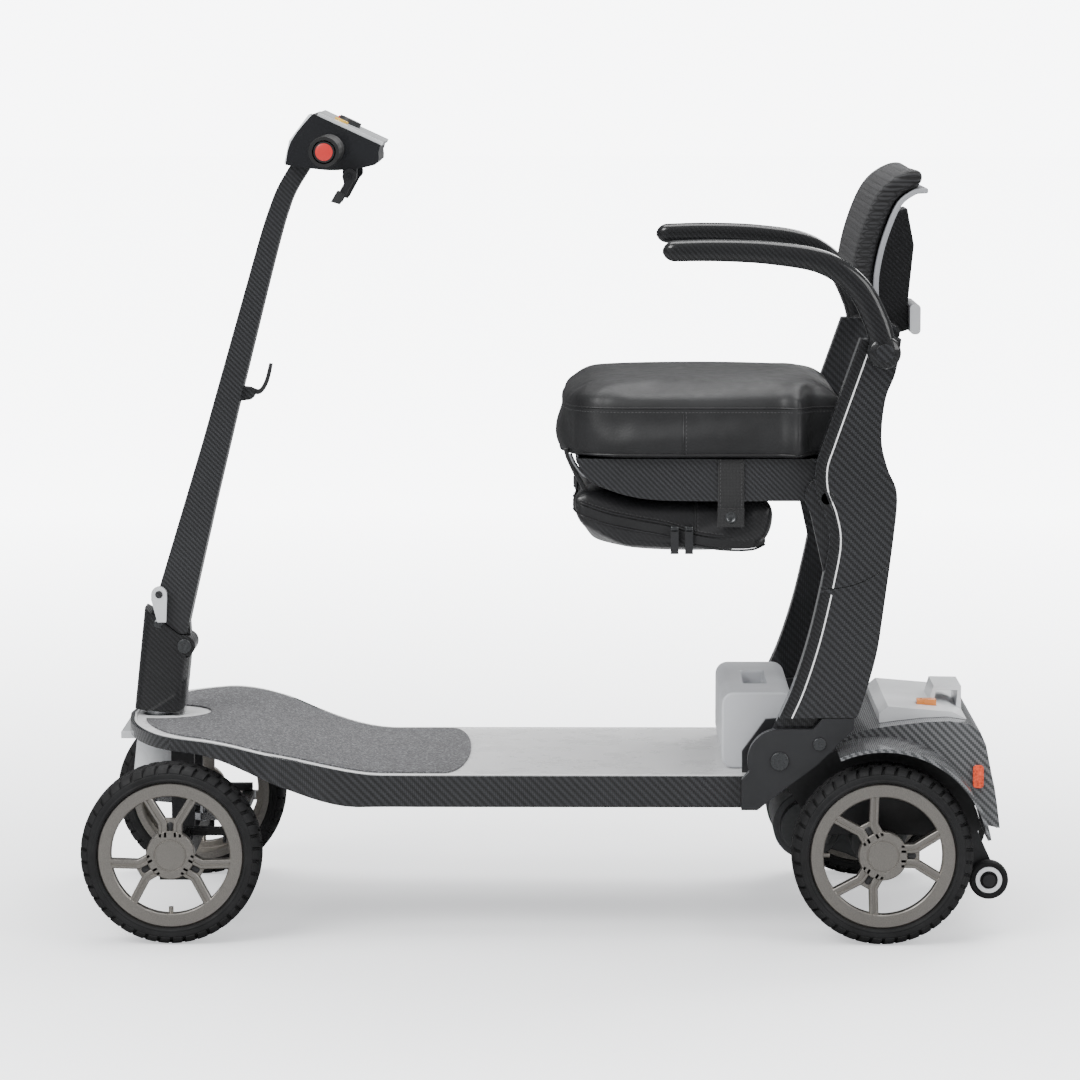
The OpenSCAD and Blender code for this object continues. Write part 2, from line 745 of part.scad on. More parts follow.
lever_pivot = handle_at + [22, -30];
module lever(s) {
    color("#1b1c1e") on_side(s) difference() {
        union() {
            side(-head_w / 2 - 14, -head_w / 2 - 2) polygon(from(lever_pivot, concat(
                arc([0, 0], 8, -60, 120, 10), [[-8, 0], [-6, -8], [-16, -26], [-8, -29], [4, -7]])));
            side(-head_w / 2 - 30, -head_w / 2 - 2) polygon(from(lever_pivot, [[-13, -16], [-20, -28],
                [-10, -31], [-5, -20]]));
        }
        bar(lever_pivot, 3 + run_gap, -bar_w, 0);
    }
}
module brake_lever() lever(-1);
module throttle_lever() lever(1);

// Ears under the head that carry the pins of the levers
module lever_ears() {
    pair() {
        bar(lever_pivot, 3, -head_w / 2 - 16, -head_w / 2 + 12);
        side(-head_w / 2 - 1, -head_w / 2 + 12) polygon(from(lever_pivot, concat(
            arc([0, 0], 8, 180, 360, 10), [[8, 16], [-8, 16]])));
    }
}

hook_pivot = on_tube(tiller_l * 0.63) + [22, 0];
module bag_hook() {
    color("#202123") difference() {
        union() {
            bar(hook_pivot, 7, -6, 6);
            side(-5, 5) polygon(from(hook_pivot, ribbon(smooth([[2, 4], [12, 2], [20, 14], [25, 34]], 4),
                6, 4)));
        }
        bar(hook_pivot, 3 + run_gap, -8, 8);
    }
}

module hook_ears() {
    pair() side(-11, -6 - part_gap) polygon(from(hook_pivot, concat(arc([0, 0], 7, -90, 90, 10), [[-16,
        9], [-16, -9]])));
    bar(hook_pivot, 3, -10, 10);
}

latch_pivot = tiller_pivot + [-28, 60];
module tiller_latch() {
    color("#b7babd") difference() {
        side(-column_w / 2 - 8, -column_w / 2 - part_gap) polygon(from(latch_pivot, concat(
            arc([0, 0], 9, 0, 180, 12), [[-9, -6], [-2, -32], [8, -32], [9, -6]])));
        bar(latch_pivot, 4 + run_gap, -60, 0);
    }
}

// ---------- seat post ----------

// Edges of a post arm: x behind the knee hinge, and height as a share of the post's height
arm_front = [[-16, 0.01], [-14, 0.06], [0, 0.17], [15, 0.29], [32, 0.476], [47, 0.702], [53, 0.832],
             [49, 0.925], [39, 1.02], [38, 1.12], [47, 1.22], [71, 1.455], [86, 1.6]];
arm_rear = [[82, 0.16], [89, 0.2], [106, 0.404], [114, 0.589], [124, 0.849], [127.5, 1.017], [117, 1.113],
            [110, 1.223], [114, 1.373], [125, 1.476], [131, 1.6]];
function arm_edge(p) = smooth([for (q = p) knee + [q[0] - 51 * q[1] + post_back * q[1], q[1] * post_h]], 5);
arm_top_z = armrest_pivot[1] + 34;

module arm_outline() {
    intersection() {
        polygon(concat(arm_edge(arm_front), reversed(arm_edge(arm_rear)), [knee + [60, 8], knee + [20,
            -4]]));
        translate([knee[0] - 100, 0]) square([400, arm_top_z]);
    }
}

module disc(at, r) translate(at) circle(r = r, $fn = 96);
module above(z) translate([knee[0] - 200, z]) square([500, 900]);

module post_frame() {
    color("#1f2023") {
        pair() {
            // outer layer, between the knee seam and the lap of the seat frame
            side(-outer_y, -lap_y) difference() {
                arm_outline();
                disc(seat_pivot, lap_r + part_gap);
                above(seat_pivot[1]);
                disc(knee, knee_seam_r);
                translate(knee - [100, 100]) square([147, 136]);
                translate(knee - [100, 100]) square([300, 148]);
            }
            // inner layer, with a round lug on each hinge
            difference() {
                union() {
                    side(-lap_y, -inner_y) difference() {
                        arm_outline();
                        above(seat_pivot[1] - 80);
                        translate(knee + [19, -60]) square([200, 60]);
                    }
                    side(-lap_y, -inner_y) polygon(from(seat_pivot, [[-22, 0], [22, 0], [34, -84], [-3,
                        -84]]));
                    bar(seat_pivot, 24, -lap_y, -inner_y);
                    bar(knee, 19, -lap_y, -inner_y);
                }
                bar(knee, hinge_pin_r + run_gap, -lap_y - 1, -inner_y + 1);
                bar(seat_pivot, hinge_pin_r + run_gap, -lap_y - 1, -inner_y + 1);
            }
        }
        bar(knee + [90, 0.51 * post_h], 14, -inner_y - 1, inner_y + 1);
    }
}

// ---------- seat unit ----------

module seat_frame() {
    color("#1f2023") {
        pair() {
            difference() {
                union() {
                    side(-outer_y, -lap_y - part_gap) intersection() {
                        arm_outline();
                        union() {
                            disc(seat_pivot, lap_r);
                            above(seat_pivot[1]);
                        }
                    }
                    side(-lap_y - part_gap, -inner_y) intersection() {
                        arm_outline();
                        above(seat_pivot[1] + 50);
                    }
                }
                bar(armrest_pivot, armrest_pin_r, -outer_y - 1, -inner_y + 1);
            }
            bar(seat_pivot, hinge_pin_r, -outer_y - 1, -inner_y + 14);
            bar(armrest_pivot, armrest_pin_r, -outer_y - armrest_w - 3, -inner_y);
            bar(armrest_pivot, armrest_pin_r + 4, -outer_y - armrest_w - 5, -outer_y - armrest_w - 2);
        }
        bar(back_pivot, 9, -inner_y - 1, inner_y + 1);
    }
}

base_low = seat_pivot[1] - 6;
base_top = base_low + 47;
cushion_x = seat_pivot[0] - 298;
module seat_base() {
    color("#242528") difference() {
        side(-inner_y + part_gap, inner_y - part_gap) polygon(concat(
            smooth([[cushion_x + 21, base_top], [cushion_x + 24, base_low + 40], [cushion_x + 40,
                base_low + 20],
                    [cushion_x + 92, base_low + 3], [cushion_x + 160, base_low], [cushion_x + 230,
                        base_low]], 3),
            [[cushion_x + 311, base_low], [cushion_x + 311, base_top]]));
        bar(seat_pivot, hinge_pin_r, -inner_y - 1, -inner_y + 14);
        bar(seat_pivot, hinge_pin_r, inner_y - 14, inner_y + 1);
    }
}

module seat_cushion() {
    half = cushion_w / 2;
    neck = inner_y - 4;
    edge = smooth([[cushion_x, 0], [cushion_x + 3, -half * 0.6], [cushion_x + 22, -half + 22],
                   [cushion_x + 60, -half + 3], [cushion_x + 150, -half], [cushion_x + 262, -half + 2],
                   [cushion_x + 283, -neck], [cushion_x + cushion_l, -neck + 6]], 4);
    color("#2b2c2e") translate([0, 0, base_top + soft_gap]) linear_extrude(cushion_t)
        polygon(concat(edge, [for (q = reversed(edge)) [q[0], -q[1]]]));
}

module under_seat_bag() {
    low = base_low - soft_gap - bag_h;
    color("#2a2a2c") side(-bag_w / 2, bag_w / 2) polygon(smooth([
        [cushion_x + 60, low + bag_h], [cushion_x + 14, low + bag_h - 8],
        [cushion_x + 14, low + bag_h - 24], [cushion_x + 40, low + 12],
        [cushion_x + 100, low], [cushion_x + 200, low], [cushion_x + 236, low + 12],
        [cushion_x + 244, low + bag_h - 16], [cushion_x + 242, low + bag_h]], 3));
}

module bag_straps() {
    color("#19191a") pair() side(-inner_y - 2.3, -inner_y + 0.2)
        polygon(from([cushion_x + 192, base_low + 8], rounded(30, 78, 3)));
}

zip_z = base_low - bag_h + 22;
module zip_pulls() {
    y = -bag_w / 2 - soft_gap - 2;
    thick = 3;
    color("#101011") for (x = [cushion_x + 131, cushion_x + 147]) difference() {
        block(x, y, zip_z - 25, zip_z + thick / 2, 9, thick);
        translate([x - 10, y, zip_z]) rotate([0, 90, 0]) cylinder(r = 1, h = 20);
    }
}

// ---------- backrest ----------

module back_neck() {
    color("#202124") difference() {
        union() {
            bar(back_pivot, 18, -30, 30);
            side(-30, 30) polygon(concat(
                [for (q = shifted(smooth(back_line, 4), -31.3)) if (q[1] < back_pivot[1] + 130) q],
                from(back_pivot, [[26, 132], [34, 90], [28, 30], [28, -6], [14, -10], [-14, 0]])));
        }
        bar(back_pivot, 9 + run_gap, -40, 40);
    }
}

back_line = from(back_pivot, [[-44, 28], [-44, 66], [-34, 112], [-14, 158], [14, 180], [38, 184]]);
module back_pad() {
    color("#2f3032") side(-back_w / 2, back_w / 2) polygon(concat(
        shifted(smooth(back_line, 4), -4), reversed(shifted(smooth(back_line, 4), -24))));
}

module back_shell() {
    color("#8f9296") side(-back_w / 2 + 4, back_w / 2 - 4) polygon(concat(
        shifted(smooth(back_line, 4), -25), reversed(shifted(smooth(back_line, 4), -31))));
}

module lift_handle() {
    color("#b9bcbf") {
        side(-60, 60) polygon(from(back_pivot + [34, 8], rounded(12, 34, 5)));
    }
}

// ---------- armrests ----------

module armrest(s) {
    low_y = outer_y + part_gap;
    tip = armrest_pivot + [-242, 110];
    path = smooth([tip, tip + [60, 1], tip + [120, -2], tip + [175, -12], tip + [212, -38], tip + [233,
        -76],
                   armrest_pivot], 4);
    color("#161718") on_side(s) difference() {
        union() {
            side(-low_y - armrest_w + part_gap, -low_y) polygon(ribbon(path, armrest_t, armrest_t + 8));
            bar(armrest_pivot, 18, -low_y - armrest_w + part_gap, -low_y);
        }
        bar(armrest_pivot, armrest_pin_r + run_gap, -low_y - armrest_w, -low_y + 1);
    }
}

module armrest_left() armrest(-1);
module armrest_right() armrest(1);

// ---------- nodes ----------

deck_shell();
deck_top_panel();
grip_mat();
knee_brackets();
knee_pins();
rear_frame();
drive_motor();
transaxle_case();
motor_controller();
rear_fender();
rear_lid();
rear_reflectors();
anti_tip_arms();
front_axle_beam();
head_tube();
head_bearings();
battery_pack();
release_button();
steerer();
column_shell();
tiller_hinge_pin();
knuckle_left();
knuckle_right();
tie_rod();
tyre_front_left();
rim_front_left();
tyre_front_right();
rim_front_right();
tyre_rear_left();
rim_rear_left();
tyre_rear_right();
rim_rear_right();
tiller_tube();
tiller_head();
console_cover();
headlight_lens();
handlebar();
handle_grips();
bag_hook();
throttle_lever();
brake_lever();
power_button();
horn_button();
speed_dial();
tiller_latch();
post_frame();
seat_frame();
seat_base();
seat_cushion();
under_seat_bag();
bag_straps();
zip_pulls();
back_neck();
back_shell();
back_pad();
lift_handle();
armrest_left();
armrest_right();
anti_tip_wheel_left();
anti_tip_wheel_right();
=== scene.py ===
"""Folding mobility scooter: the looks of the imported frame, laid out as a Blender add-on."""

import json
import math

import bmesh
import bpy
import numpy as np
from bpy.props import FloatProperty, FloatVectorProperty, PointerProperty
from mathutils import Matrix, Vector
from mathutils.bvhtree import BVHTree

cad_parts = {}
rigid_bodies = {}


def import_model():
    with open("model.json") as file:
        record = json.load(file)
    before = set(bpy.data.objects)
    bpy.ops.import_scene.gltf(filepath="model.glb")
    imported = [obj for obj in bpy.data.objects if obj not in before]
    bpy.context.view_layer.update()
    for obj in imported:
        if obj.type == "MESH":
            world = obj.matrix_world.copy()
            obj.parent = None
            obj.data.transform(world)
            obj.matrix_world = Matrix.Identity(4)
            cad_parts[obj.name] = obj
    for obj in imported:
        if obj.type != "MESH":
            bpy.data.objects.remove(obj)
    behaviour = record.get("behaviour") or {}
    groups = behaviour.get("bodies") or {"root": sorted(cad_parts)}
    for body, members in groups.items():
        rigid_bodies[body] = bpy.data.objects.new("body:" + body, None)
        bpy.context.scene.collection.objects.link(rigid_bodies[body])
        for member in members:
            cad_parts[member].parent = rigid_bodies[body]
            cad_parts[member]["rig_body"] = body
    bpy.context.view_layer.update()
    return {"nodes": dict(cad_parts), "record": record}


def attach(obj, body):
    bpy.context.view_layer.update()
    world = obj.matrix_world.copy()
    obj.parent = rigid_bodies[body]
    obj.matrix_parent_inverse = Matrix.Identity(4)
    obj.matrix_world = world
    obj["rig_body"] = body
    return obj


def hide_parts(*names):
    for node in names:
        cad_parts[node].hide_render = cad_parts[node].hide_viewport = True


bl_info = {
    "name": "Folding Scooter Looks",
    "version": (1, 0, 0),
    "blender": (4, 5, 0),
    "location": "View3D > Sidebar > Scooter",
    "description": "Builds the finishes, tyres, soft goods and stage of a folding scooter",
    "category": "Object",
}

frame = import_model()

TAU = 2 * math.pi
MM = 0.001
# Places in the frame in millimetres: x and z of pivots and axles, and distances |y| from the middle
KNEE = (256, 200)
SEAT_PIVOT = (307, 492)
ARMREST_PIVOT = (367, 654)
AXLE_Z = 100.0
FRONT_X, REAR_X = -416, 369
WHEEL_Y = 217.5
ARM_FACE_Y = 203.5
HANDLEBAR = (-244.8, 871.4)
GRIP_END_Y = 205.0


# ---------- shapes, in millimetres ----------
# A shape is (points, faces). Shapes are put together by piece(), which also scales them to metres.


def grid_faces(rows, cols, wrap_rows=False, wrap_cols=False):
    """Quads of a rows by cols grid of points, closed round either way if asked."""
    i, j = np.meshgrid(
        np.arange(rows - (not wrap_rows)), np.arange(cols - (not wrap_cols)), indexing="ij"
    )
    i2, j2 = (i + 1) % rows, (j + 1) % cols
    return np.stack([i * cols + j, i2 * cols + j, i2 * cols + j2, i * cols + j2], -1).reshape(-1, 4)


def end_faces(rows, cols):
    """The two faces that close a tube of rows rings, each of cols points."""
    return [list(range(cols)), list(range((rows - 1) * cols, rows * cols))[::-1]]


def headings(path):
    """The unit direction of an open path at each of its points."""
    ahead = np.gradient(path, axis=0)
    return ahead / np.linalg.norm(ahead, axis=1)[:, None]


def spline(points, count):
    """A smooth open curve: a Catmull-Rom spline through the points, at even steps of length."""
    p = np.asarray(points, float)
    p = np.vstack([2 * p[0] - p[1], p, 2 * p[-1] - p[-2]])
    t = np.linspace(0, len(p) - 3 - 1e-9, count * 8)
    k = t.astype(int)
    f = (t - k)[:, None]
    a, b, c, d = p[k], p[k + 1], p[k + 2], p[k + 3]
    q = 0.5 * (2 * b + (c - a) * f + (2 * a - 5 * b + 4 * c - d) * f**2 + (3 * b - a - 3 * c + d) * f**3)
    return even(q, count)


def even(path, count):
    """The same path with its points at even steps of length."""
    run = np.r_[0, np.cumsum(np.linalg.norm(np.diff(path, axis=0), axis=1))]
    at = np.linspace(0, run[-1], count)
    return np.stack([np.interp(at, run, path[:, i]) for i in range(path.shape[1])], 1)


def circle(radius, sides):
    a = np.linspace(0, TAU, sides, endpoint=False)
    return np.stack([radius * np.cos(a), radius * np.sin(a)], 1)


def rounded(width, height, radius, steps=4):
    """Outline of a rectangle with round corners: a quarter circle about each corner's centre."""
    a = np.linspace(0, math.pi / 2, steps)
    turns = np.arange(4)[:, None] * math.pi / 2
    cx = (width / 2 - radius) * np.array([1, -1, -1, 1])[:, None]
    cy = (height / 2 - radius) * np.array([1, 1, -1, -1])[:, None]
    return np.stack([cx + radius * np.cos(a + turns), cy + radius * np.sin(a + turns)], -1).reshape(-1, 2)


def carried(path, section, up=(0, 0, 1), grow=None):
    """A closed section carried along a path: each point is path + across * side + along * top,
    where side is square to the path and to up. grow scales the section at each point of the path."""
    path, section = np.asarray(path, float), np.asarray(section, float)
    n, m = len(path), len(section)
    ahead = headings(path)
    side = np.cross(ahead, np.asarray(up, float))
    side /= np.linalg.norm(side, axis=1)[:, None]
    top = np.cross(side, ahead)
    size = np.ones((n, 2)) if grow is None else np.asarray(grow, float).reshape(n, -1) * np.ones(2)
    across = section[None] * size[:, None]
    points = path[:, None] + across[..., :1] * side[:, None] + across[..., 1:] * top[:, None]
    return points.reshape(-1, 3), grid_faces(n, m, wrap_cols=True).tolist() + end_faces(n, m)


def turned(profile, centre, axis, steps=48, ring=False):
    """A turned shape: a profile of (distance along the axis, radius) carried round the axis.
    With ring the profile is closed on itself, as a tyre's is."""
    profile = np.asarray(profile, float)
    axis = Vector(axis).normalized()
    u = axis.orthogonal().normalized()
    v = axis.cross(u)
    a = np.linspace(0, TAU, steps, endpoint=False)
    outward = np.cos(a)[:, None] * np.array(u) + np.sin(a)[:, None] * np.array(v)
    along, radius = profile[:, None, :1], profile[:, None, 1:]
    points = np.asarray(centre, float) + along * np.array(axis) + radius * outward
    rows = len(profile)
    faces = grid_faces(rows, steps, wrap_rows=ring, wrap_cols=True).tolist()
    return points.reshape(-1, 3), faces if ring else faces + end_faces(rows, steps)


def slab(outline, levels, origin, u, v):
    """An outline stacked in levels of (inset, height), each inset square to its edges.
    u and v are the outline's own axes and the height runs along u x v."""
    p = np.asarray(outline, float)
    ahead = np.roll(p, -1, 0) - np.roll(p, 1, 0)
    ahead /= np.linalg.norm(ahead, axis=1)[:, None]
    inward = np.stack([-ahead[:, 1], ahead[:, 0]], 1)
    u, v = np.asarray(u, float), np.asarray(v, float)
    w = np.cross(u, v)
    rows = []
    for inset, height in levels:
        q = p + inset * inward
        rows.append(np.asarray(origin, float) + q[:, :1] * u + q[:, 1:] * v + height * w)
    n, m = len(rows), len(p)
    return np.vstack(rows), grid_faces(n, m, wrap_cols=True).tolist() + end_faces(n, m)


def soft_edge(height, radius, base=0.0):
    """Levels of a slab whose upper edge is rounded by a quarter circle."""
    a = np.linspace(0, math.pi / 2, 5)
    return [(0, base)] + [(radius * (1 - math.cos(t)), height - radius * (1 - math.sin(t))) for t in a]


def copies(shape, places, turns):
    """The same shape at many places, each turned by its own 3 x 3 matrix (rows are its axes)."""
    points, faces = shape
    at = np.einsum("pi,nij->npj", points, turns) + places[:, None]
    out = [[i + k * len(points) for i in f] for k in range(len(places)) for f in faces]
    return at.reshape(-1, 3), out


def dashes(path, pitch, length, radius, up=(0, 0, 1)):
    """A row of stitches: short six-sided threads at even steps along a path."""
    path = np.asarray(path, float)
    total = np.linalg.norm(np.diff(path, axis=0), axis=1).sum()
    spots = even(path, max(3, int(total / pitch)))
    ahead = headings(spots)
    side = np.cross(ahead, np.broadcast_to(np.asarray(up, float), ahead.shape))
    side /= np.linalg.norm(side, axis=1)[:, None]
    turns = np.stack([ahead, side, np.cross(ahead, side)], 1)
    x = np.array([-0.5, -0.35, 0.35, 0.5]) * length
    stitch = carried(np.stack([x, 0 * x, 0 * x], 1), circle(radius, 6), grow=[0.35, 1, 1, 0.35])
    return copies(stitch, spots, turns)


def mirrored(shape):
    """The same shape on the other side of the vehicle."""
    return shape[0] * np.array([1, -1, 1]), shape[1]


def both_sides(shapes):
    return shapes + [mirrored(shape) for shape in shapes]


def side_view(outline, y):
    """Points drawn in x and z, at one distance across the vehicle."""
    p = np.asarray(outline, float)
    return np.stack([p[:, 0], np.full(len(p), float(y)), p[:, 1]], 1)


def piece(name, shapes, finish, body, nodes=(), sharp=40):
    """One object out of shapes: scaled to metres, doubles merged, faces turned outwards, and riding
    on its body in place of the nodes that it replaces."""
    points, faces, start = [], [], 0
    for p, f in shapes:
        points.append(p)
        faces += [[i + start for i in face] for face in f]
        start += len(p)
    mesh = bpy.data.meshes.new(name)
    mesh.from_pydata((np.vstack(points) * MM).tolist(), [], faces)
    bm = bmesh.new()
    bm.from_mesh(mesh)
    bmesh.ops.remove_doubles(bm, verts=bm.verts, dist=1e-6)
    bmesh.ops.recalc_face_normals(bm, faces=bm.faces)
    bm.to_mesh(mesh)
    bm.free()
    mesh.polygons.foreach_set("use_smooth", [True] * len(mesh.polygons))
    mesh.set_sharp_from_angle(angle=math.radians(sharp))
    mesh.materials.append(FINISHES[finish])
    obj = bpy.data.objects.new(name, mesh)
    bpy.context.scene.collection.objects.link(obj)
    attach(obj, body)
    if nodes:
        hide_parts(*nodes)
    return obj


def node_body(node):
    return frame["nodes"][node]["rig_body"]


def node_slot(node):
    return next(s["material_slot"] for s in frame["record"]["subparts"] if s["node"] == node)


def softened(node, material, bevel=1.2, angle=34, segments=3):
    """A copy of a CAD piece with its facets joined and its edges rounded by a bevel, in millimetres."""
    mesh = frame["nodes"][node].data.copy()
    bm = bmesh.new()
    bm.from_mesh(mesh)
    bmesh.ops.remove_doubles(bm, verts=bm.verts, dist=2e-5)
    bmesh.ops.dissolve_degenerate(bm, dist=2e-5, edges=bm.edges)
    bmesh.ops.dissolve_limit(bm, angle_limit=math.radians(0.8), verts=bm.verts, edges=bm.edges)
    bm.to_mesh(mesh)
    bm.free()
    if "custom_normal" in mesh.attributes:
        mesh.attributes.remove(mesh.attributes["custom_normal"])
    mesh.polygons.foreach_set("use_smooth", [True] * len(mesh.polygons))
    mesh.set_sharp_from_angle(angle=math.radians(angle))
    obj = bpy.data.objects.new("skin_" + node, mesh)
    bpy.context.scene.collection.objects.link(obj)
    mesh.materials.clear()
    mesh.materials.append(material)
    round_edges = obj.modifiers.new("round_edges", "BEVEL")
    round_edges.width = bevel * MM
    round_edges.segments = segments
    round_edges.limit_method = "ANGLE"
    round_edges.angle_limit = math.radians(angle)
    round_edges.harden_normals = True
    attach(obj, node_body(node))
    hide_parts(node)
    return obj


# ---------- materials ----------


class Finish:
    """A material whose nodes are built up one call at a time."""

    def __init__(self, name, color, roughness=0.5, metallic=0.0, **inputs):
        self.material = bpy.data.materials.new(name)
        self.material.use_nodes = True
        self.tree = self.material.node_tree
        self.shader = self.tree.nodes["Principled BSDF"]
        self.color = (*color[:3], 1.0)
        self.shader.inputs["Base Color"].default_value = self.color
        self.shader.inputs["Roughness"].default_value = roughness
        self.shader.inputs["Metallic"].default_value = metallic
        for key, value in inputs.items():
            self.shader.inputs[key.replace("_", " ")].default_value = value
        self.coords = self.node("ShaderNodeTexCoord")
        self.place = self.coords.outputs["Object"]
        self.height = None

    def node(self, kind, **settings):
        made = self.tree.nodes.new(kind)
        for key, value in settings.items():
            setattr(made, key, value)
        return made

    def link(self, a, b):
        self.tree.links.new(a, b)

    def math(self, op, a, b=None, c=None):
        made = self.node("ShaderNodeMath", operation=op)
        for k, value in enumerate((a, b, c)):
            if value is None:
                continue
            if isinstance(value, (int, float)):
                made.inputs[k].default_value = value
            else:
                self.link(value, made.inputs[k])
        return made.outputs[0]

    def noise(self, scale, detail=3.0, stretch=(1, 1, 1), rough=0.5):
        turn = self.node("ShaderNodeMapping")
        turn.inputs["Scale"].default_value = stretch
        self.link(self.place, turn.inputs["Vector"])
        made = self.node("ShaderNodeTexNoise")
        made.inputs["Scale"].default_value = scale
        made.inputs["Detail"].default_value = detail
        made.inputs["Roughness"].default_value = rough
        self.link(turn.outputs[0], made.inputs["Vector"])
        return made.outputs["Fac"]

    def cells(self, scale, feature="F1", stretch=(1, 1, 1), output="Distance"):
        turn = self.node("ShaderNodeMapping")
        turn.inputs["Scale"].default_value = stretch
        self.link(self.place, turn.inputs["Vector"])
        made = self.node("ShaderNodeTexVoronoi", feature=feature)
        made.inputs["Scale"].default_value = scale
        self.link(turn.outputs[0], made.inputs["Vector"])
        return made.outputs[output]

    def spread(self, fac, low, high, target, from_low=0.3, from_high=0.7):
        """A value that follows fac, from low to high, on one of the shader's inputs."""
        made = self.node("ShaderNodeMapRange")
        made.inputs["From Min"].default_value = from_low
        made.inputs["From Max"].default_value = from_high
        made.inputs["To Min"].default_value = low
        made.inputs["To Max"].default_value = high
        self.link(fac, made.inputs["Value"])
        if target:
            self.link(made.outputs[0], self.shader.inputs[target])
        return made.outputs[0]

    def tint(self, fac, dark, light, low=0.3, high=0.7):
        """The base colour between a dark and a light one, by fac."""
        ramp = self.node("ShaderNodeValToRGB")
        ramp.color_ramp.elements[0].position = low
        ramp.color_ramp.elements[0].color = (*dark[:3], 1)
        ramp.color_ramp.elements[1].position = high
        ramp.color_ramp.elements[1].color = (*light[:3], 1)
        self.link(fac, ramp.inputs["Fac"])
        self.link(ramp.outputs["Color"], self.shader.inputs["Base Color"])
        return ramp

    def bump(self, height, depth, strength=1.0):
        """Relief of the given depth in metres, on top of any relief made before."""
        made = self.node("ShaderNodeBump")
        made.inputs["Distance"].default_value = depth
        made.inputs["Strength"].default_value = strength
        self.link(height, made.inputs["Height"])
        if self.height:
            self.link(self.height, made.inputs["Normal"])
        self.height = made.outputs["Normal"]
        self.link(self.height, self.shader.inputs["Normal"])

    def face_plane(self):
        """Two coordinates that lie in the face: x and z on a side, x and y on a top, y and z on an end."""
        split = self.node("ShaderNodeSeparateXYZ")
        self.link(self.place, split.inputs[0])
        facing = self.node("ShaderNodeSeparateXYZ")
        self.link(self.coords.outputs["Normal"], facing.inputs[0])
        nx, ny, nz = [self.math("ABSOLUTE", facing.outputs[k]) for k in range(3)]
        is_end = self.math("GREATER_THAN", nx, self.math("MAXIMUM", ny, nz))
        is_top = self.math("GREATER_THAN", nz, self.math("MAXIMUM", nx, ny))
        x, y, z = split.outputs
        u = self.math("ADD", self.math("MULTIPLY", self.math("SUBTRACT", y, x), is_end), x)
        v = self.math("ADD", self.math("MULTIPLY", self.math("SUBTRACT", y, z), is_top), z)
        return u, v


def shade(color, factor):
    return tuple(c * factor for c in color[:3])


def carbon_finish(name, color, tow=0.0022, coat=0.035):
    """Clear-coated 2/2 twill: tow k of one way is on top where (column + row) mod 4 is 0 or 1."""
    f = Finish(name, color, 0.34, 0.0, Coat_Weight=0.8, Coat_Roughness=coat, Specular_IOR_Level=0.3)
    u, v = f.face_plane()
    col = f.math("DIVIDE", u, tow)
    row = f.math("DIVIDE", v, tow)
    total = f.math("ADD", f.math("FLOOR", col), f.math("FLOOR", row))
    over = f.math("LESS_THAN", f.math("FRACT", f.math("MULTIPLY", total, 0.25)), 0.5)
    across = f.math("ABSOLUTE", f.math("SINE", f.math("MULTIPLY", col, math.pi)))
    along = f.math("ABSOLUTE", f.math("SINE", f.math("MULTIPLY", row, math.pi)))
    crown = f.math("ADD", f.math("MULTIPLY", f.math("SUBTRACT", across, along), over), along)
    cloud = f.noise(14, 2)
    tone = f.math("ADD", f.math("MULTIPLY", over, 0.6), f.math("MULTIPLY", crown, 0.25))
    tone = f.math("ADD", tone, f.math("MULTIPLY", cloud, 0.15))
    f.tint(tone, shade(color, 0.28), shade(color, 1.7), 0.1, 0.95)
    f.spread(tone, 0.5, 0.26, "Roughness", 0.1, 0.9)
    f.bump(crown, 0.00006, 0.5)
    return f.material


def moulded_finish(name, color, roughness, grain=900, depth=0.00003, coat=0.0, vary=0.08):
    """Moulded plastic: a fine grain, a slow change of tone and a sheen that is not quite even."""
    f = Finish(name, color, roughness, 0.0, Coat_Weight=coat, Coat_Roughness=0.06)
    f.tint(f.noise(9, 4), shade(color, 1 - vary), shade(color, 1 + vary))
    f.spread(f.noise(30, 5), max(0.02, roughness - 0.06), roughness + 0.08, "Roughness")
    f.bump(f.noise(grain, 3), depth, 0.4)
    return f.material


def metal_finish(name, color, roughness, stretch=(1, 1, 1), grain=500):
    """Worked metal: fine lines or grain that change both tone and sheen."""
    f = Finish(name, color, roughness, 1.0)
    lines = f.noise(grain, 4, stretch)
    f.tint(lines, shade(color, 0.82), shade(color, 1.08))
    f.spread(lines, max(0.05, roughness - 0.08), roughness + 0.12, "Roughness")
    f.bump(lines, 0.00002, 0.35)
    return f.material


def painted_finish(name, color, roughness):
    """Satin paint: a faint orange-peel relief and slightly worn tone."""
    f = Finish(name, color, roughness, 0.0, Coat_Weight=0.25, Coat_Roughness=0.2)
    f.tint(f.noise(12, 5), shade(color, 0.85), shade(color, 1.25))
    f.spread(f.noise(60, 4), roughness - 0.05, roughness + 0.1, "Roughness")
    f.bump(f.noise(420, 2), 0.00004, 0.35)
    return f.material


def rubber_finish(name, color):
    f = Finish(name, color, 0.72, 0.0, Specular_IOR_Level=0.35)
    f.tint(f.noise(40, 6), shade(color, 0.75), shade(color, 1.35))
    f.spread(f.noise(70, 4), 0.6, 0.85, "Roughness")
    f.bump(f.noise(700, 4), 0.00008, 0.5)
    return f.material


def leather_finish(name, color, scale=420):
    """Coated leather: rounded pebbles with creases between them, over a slow change of tone."""
    f = Finish(name, color, 0.5, 0.0, Specular_IOR_Level=0.45, Coat_Weight=0.06, Coat_Roughness=0.35)
    pebble = f.cells(scale, "SMOOTH_F1")
    f.tint(f.noise(18, 5), shade(color, 0.8), shade(color, 1.25))
    f.spread(f.noise(90, 4), 0.46, 0.56, "Roughness")
    f.bump(pebble, 0.00018, 0.55)
    f.bump(f.noise(26, 4), 0.0008, 0.2)
    return f.material


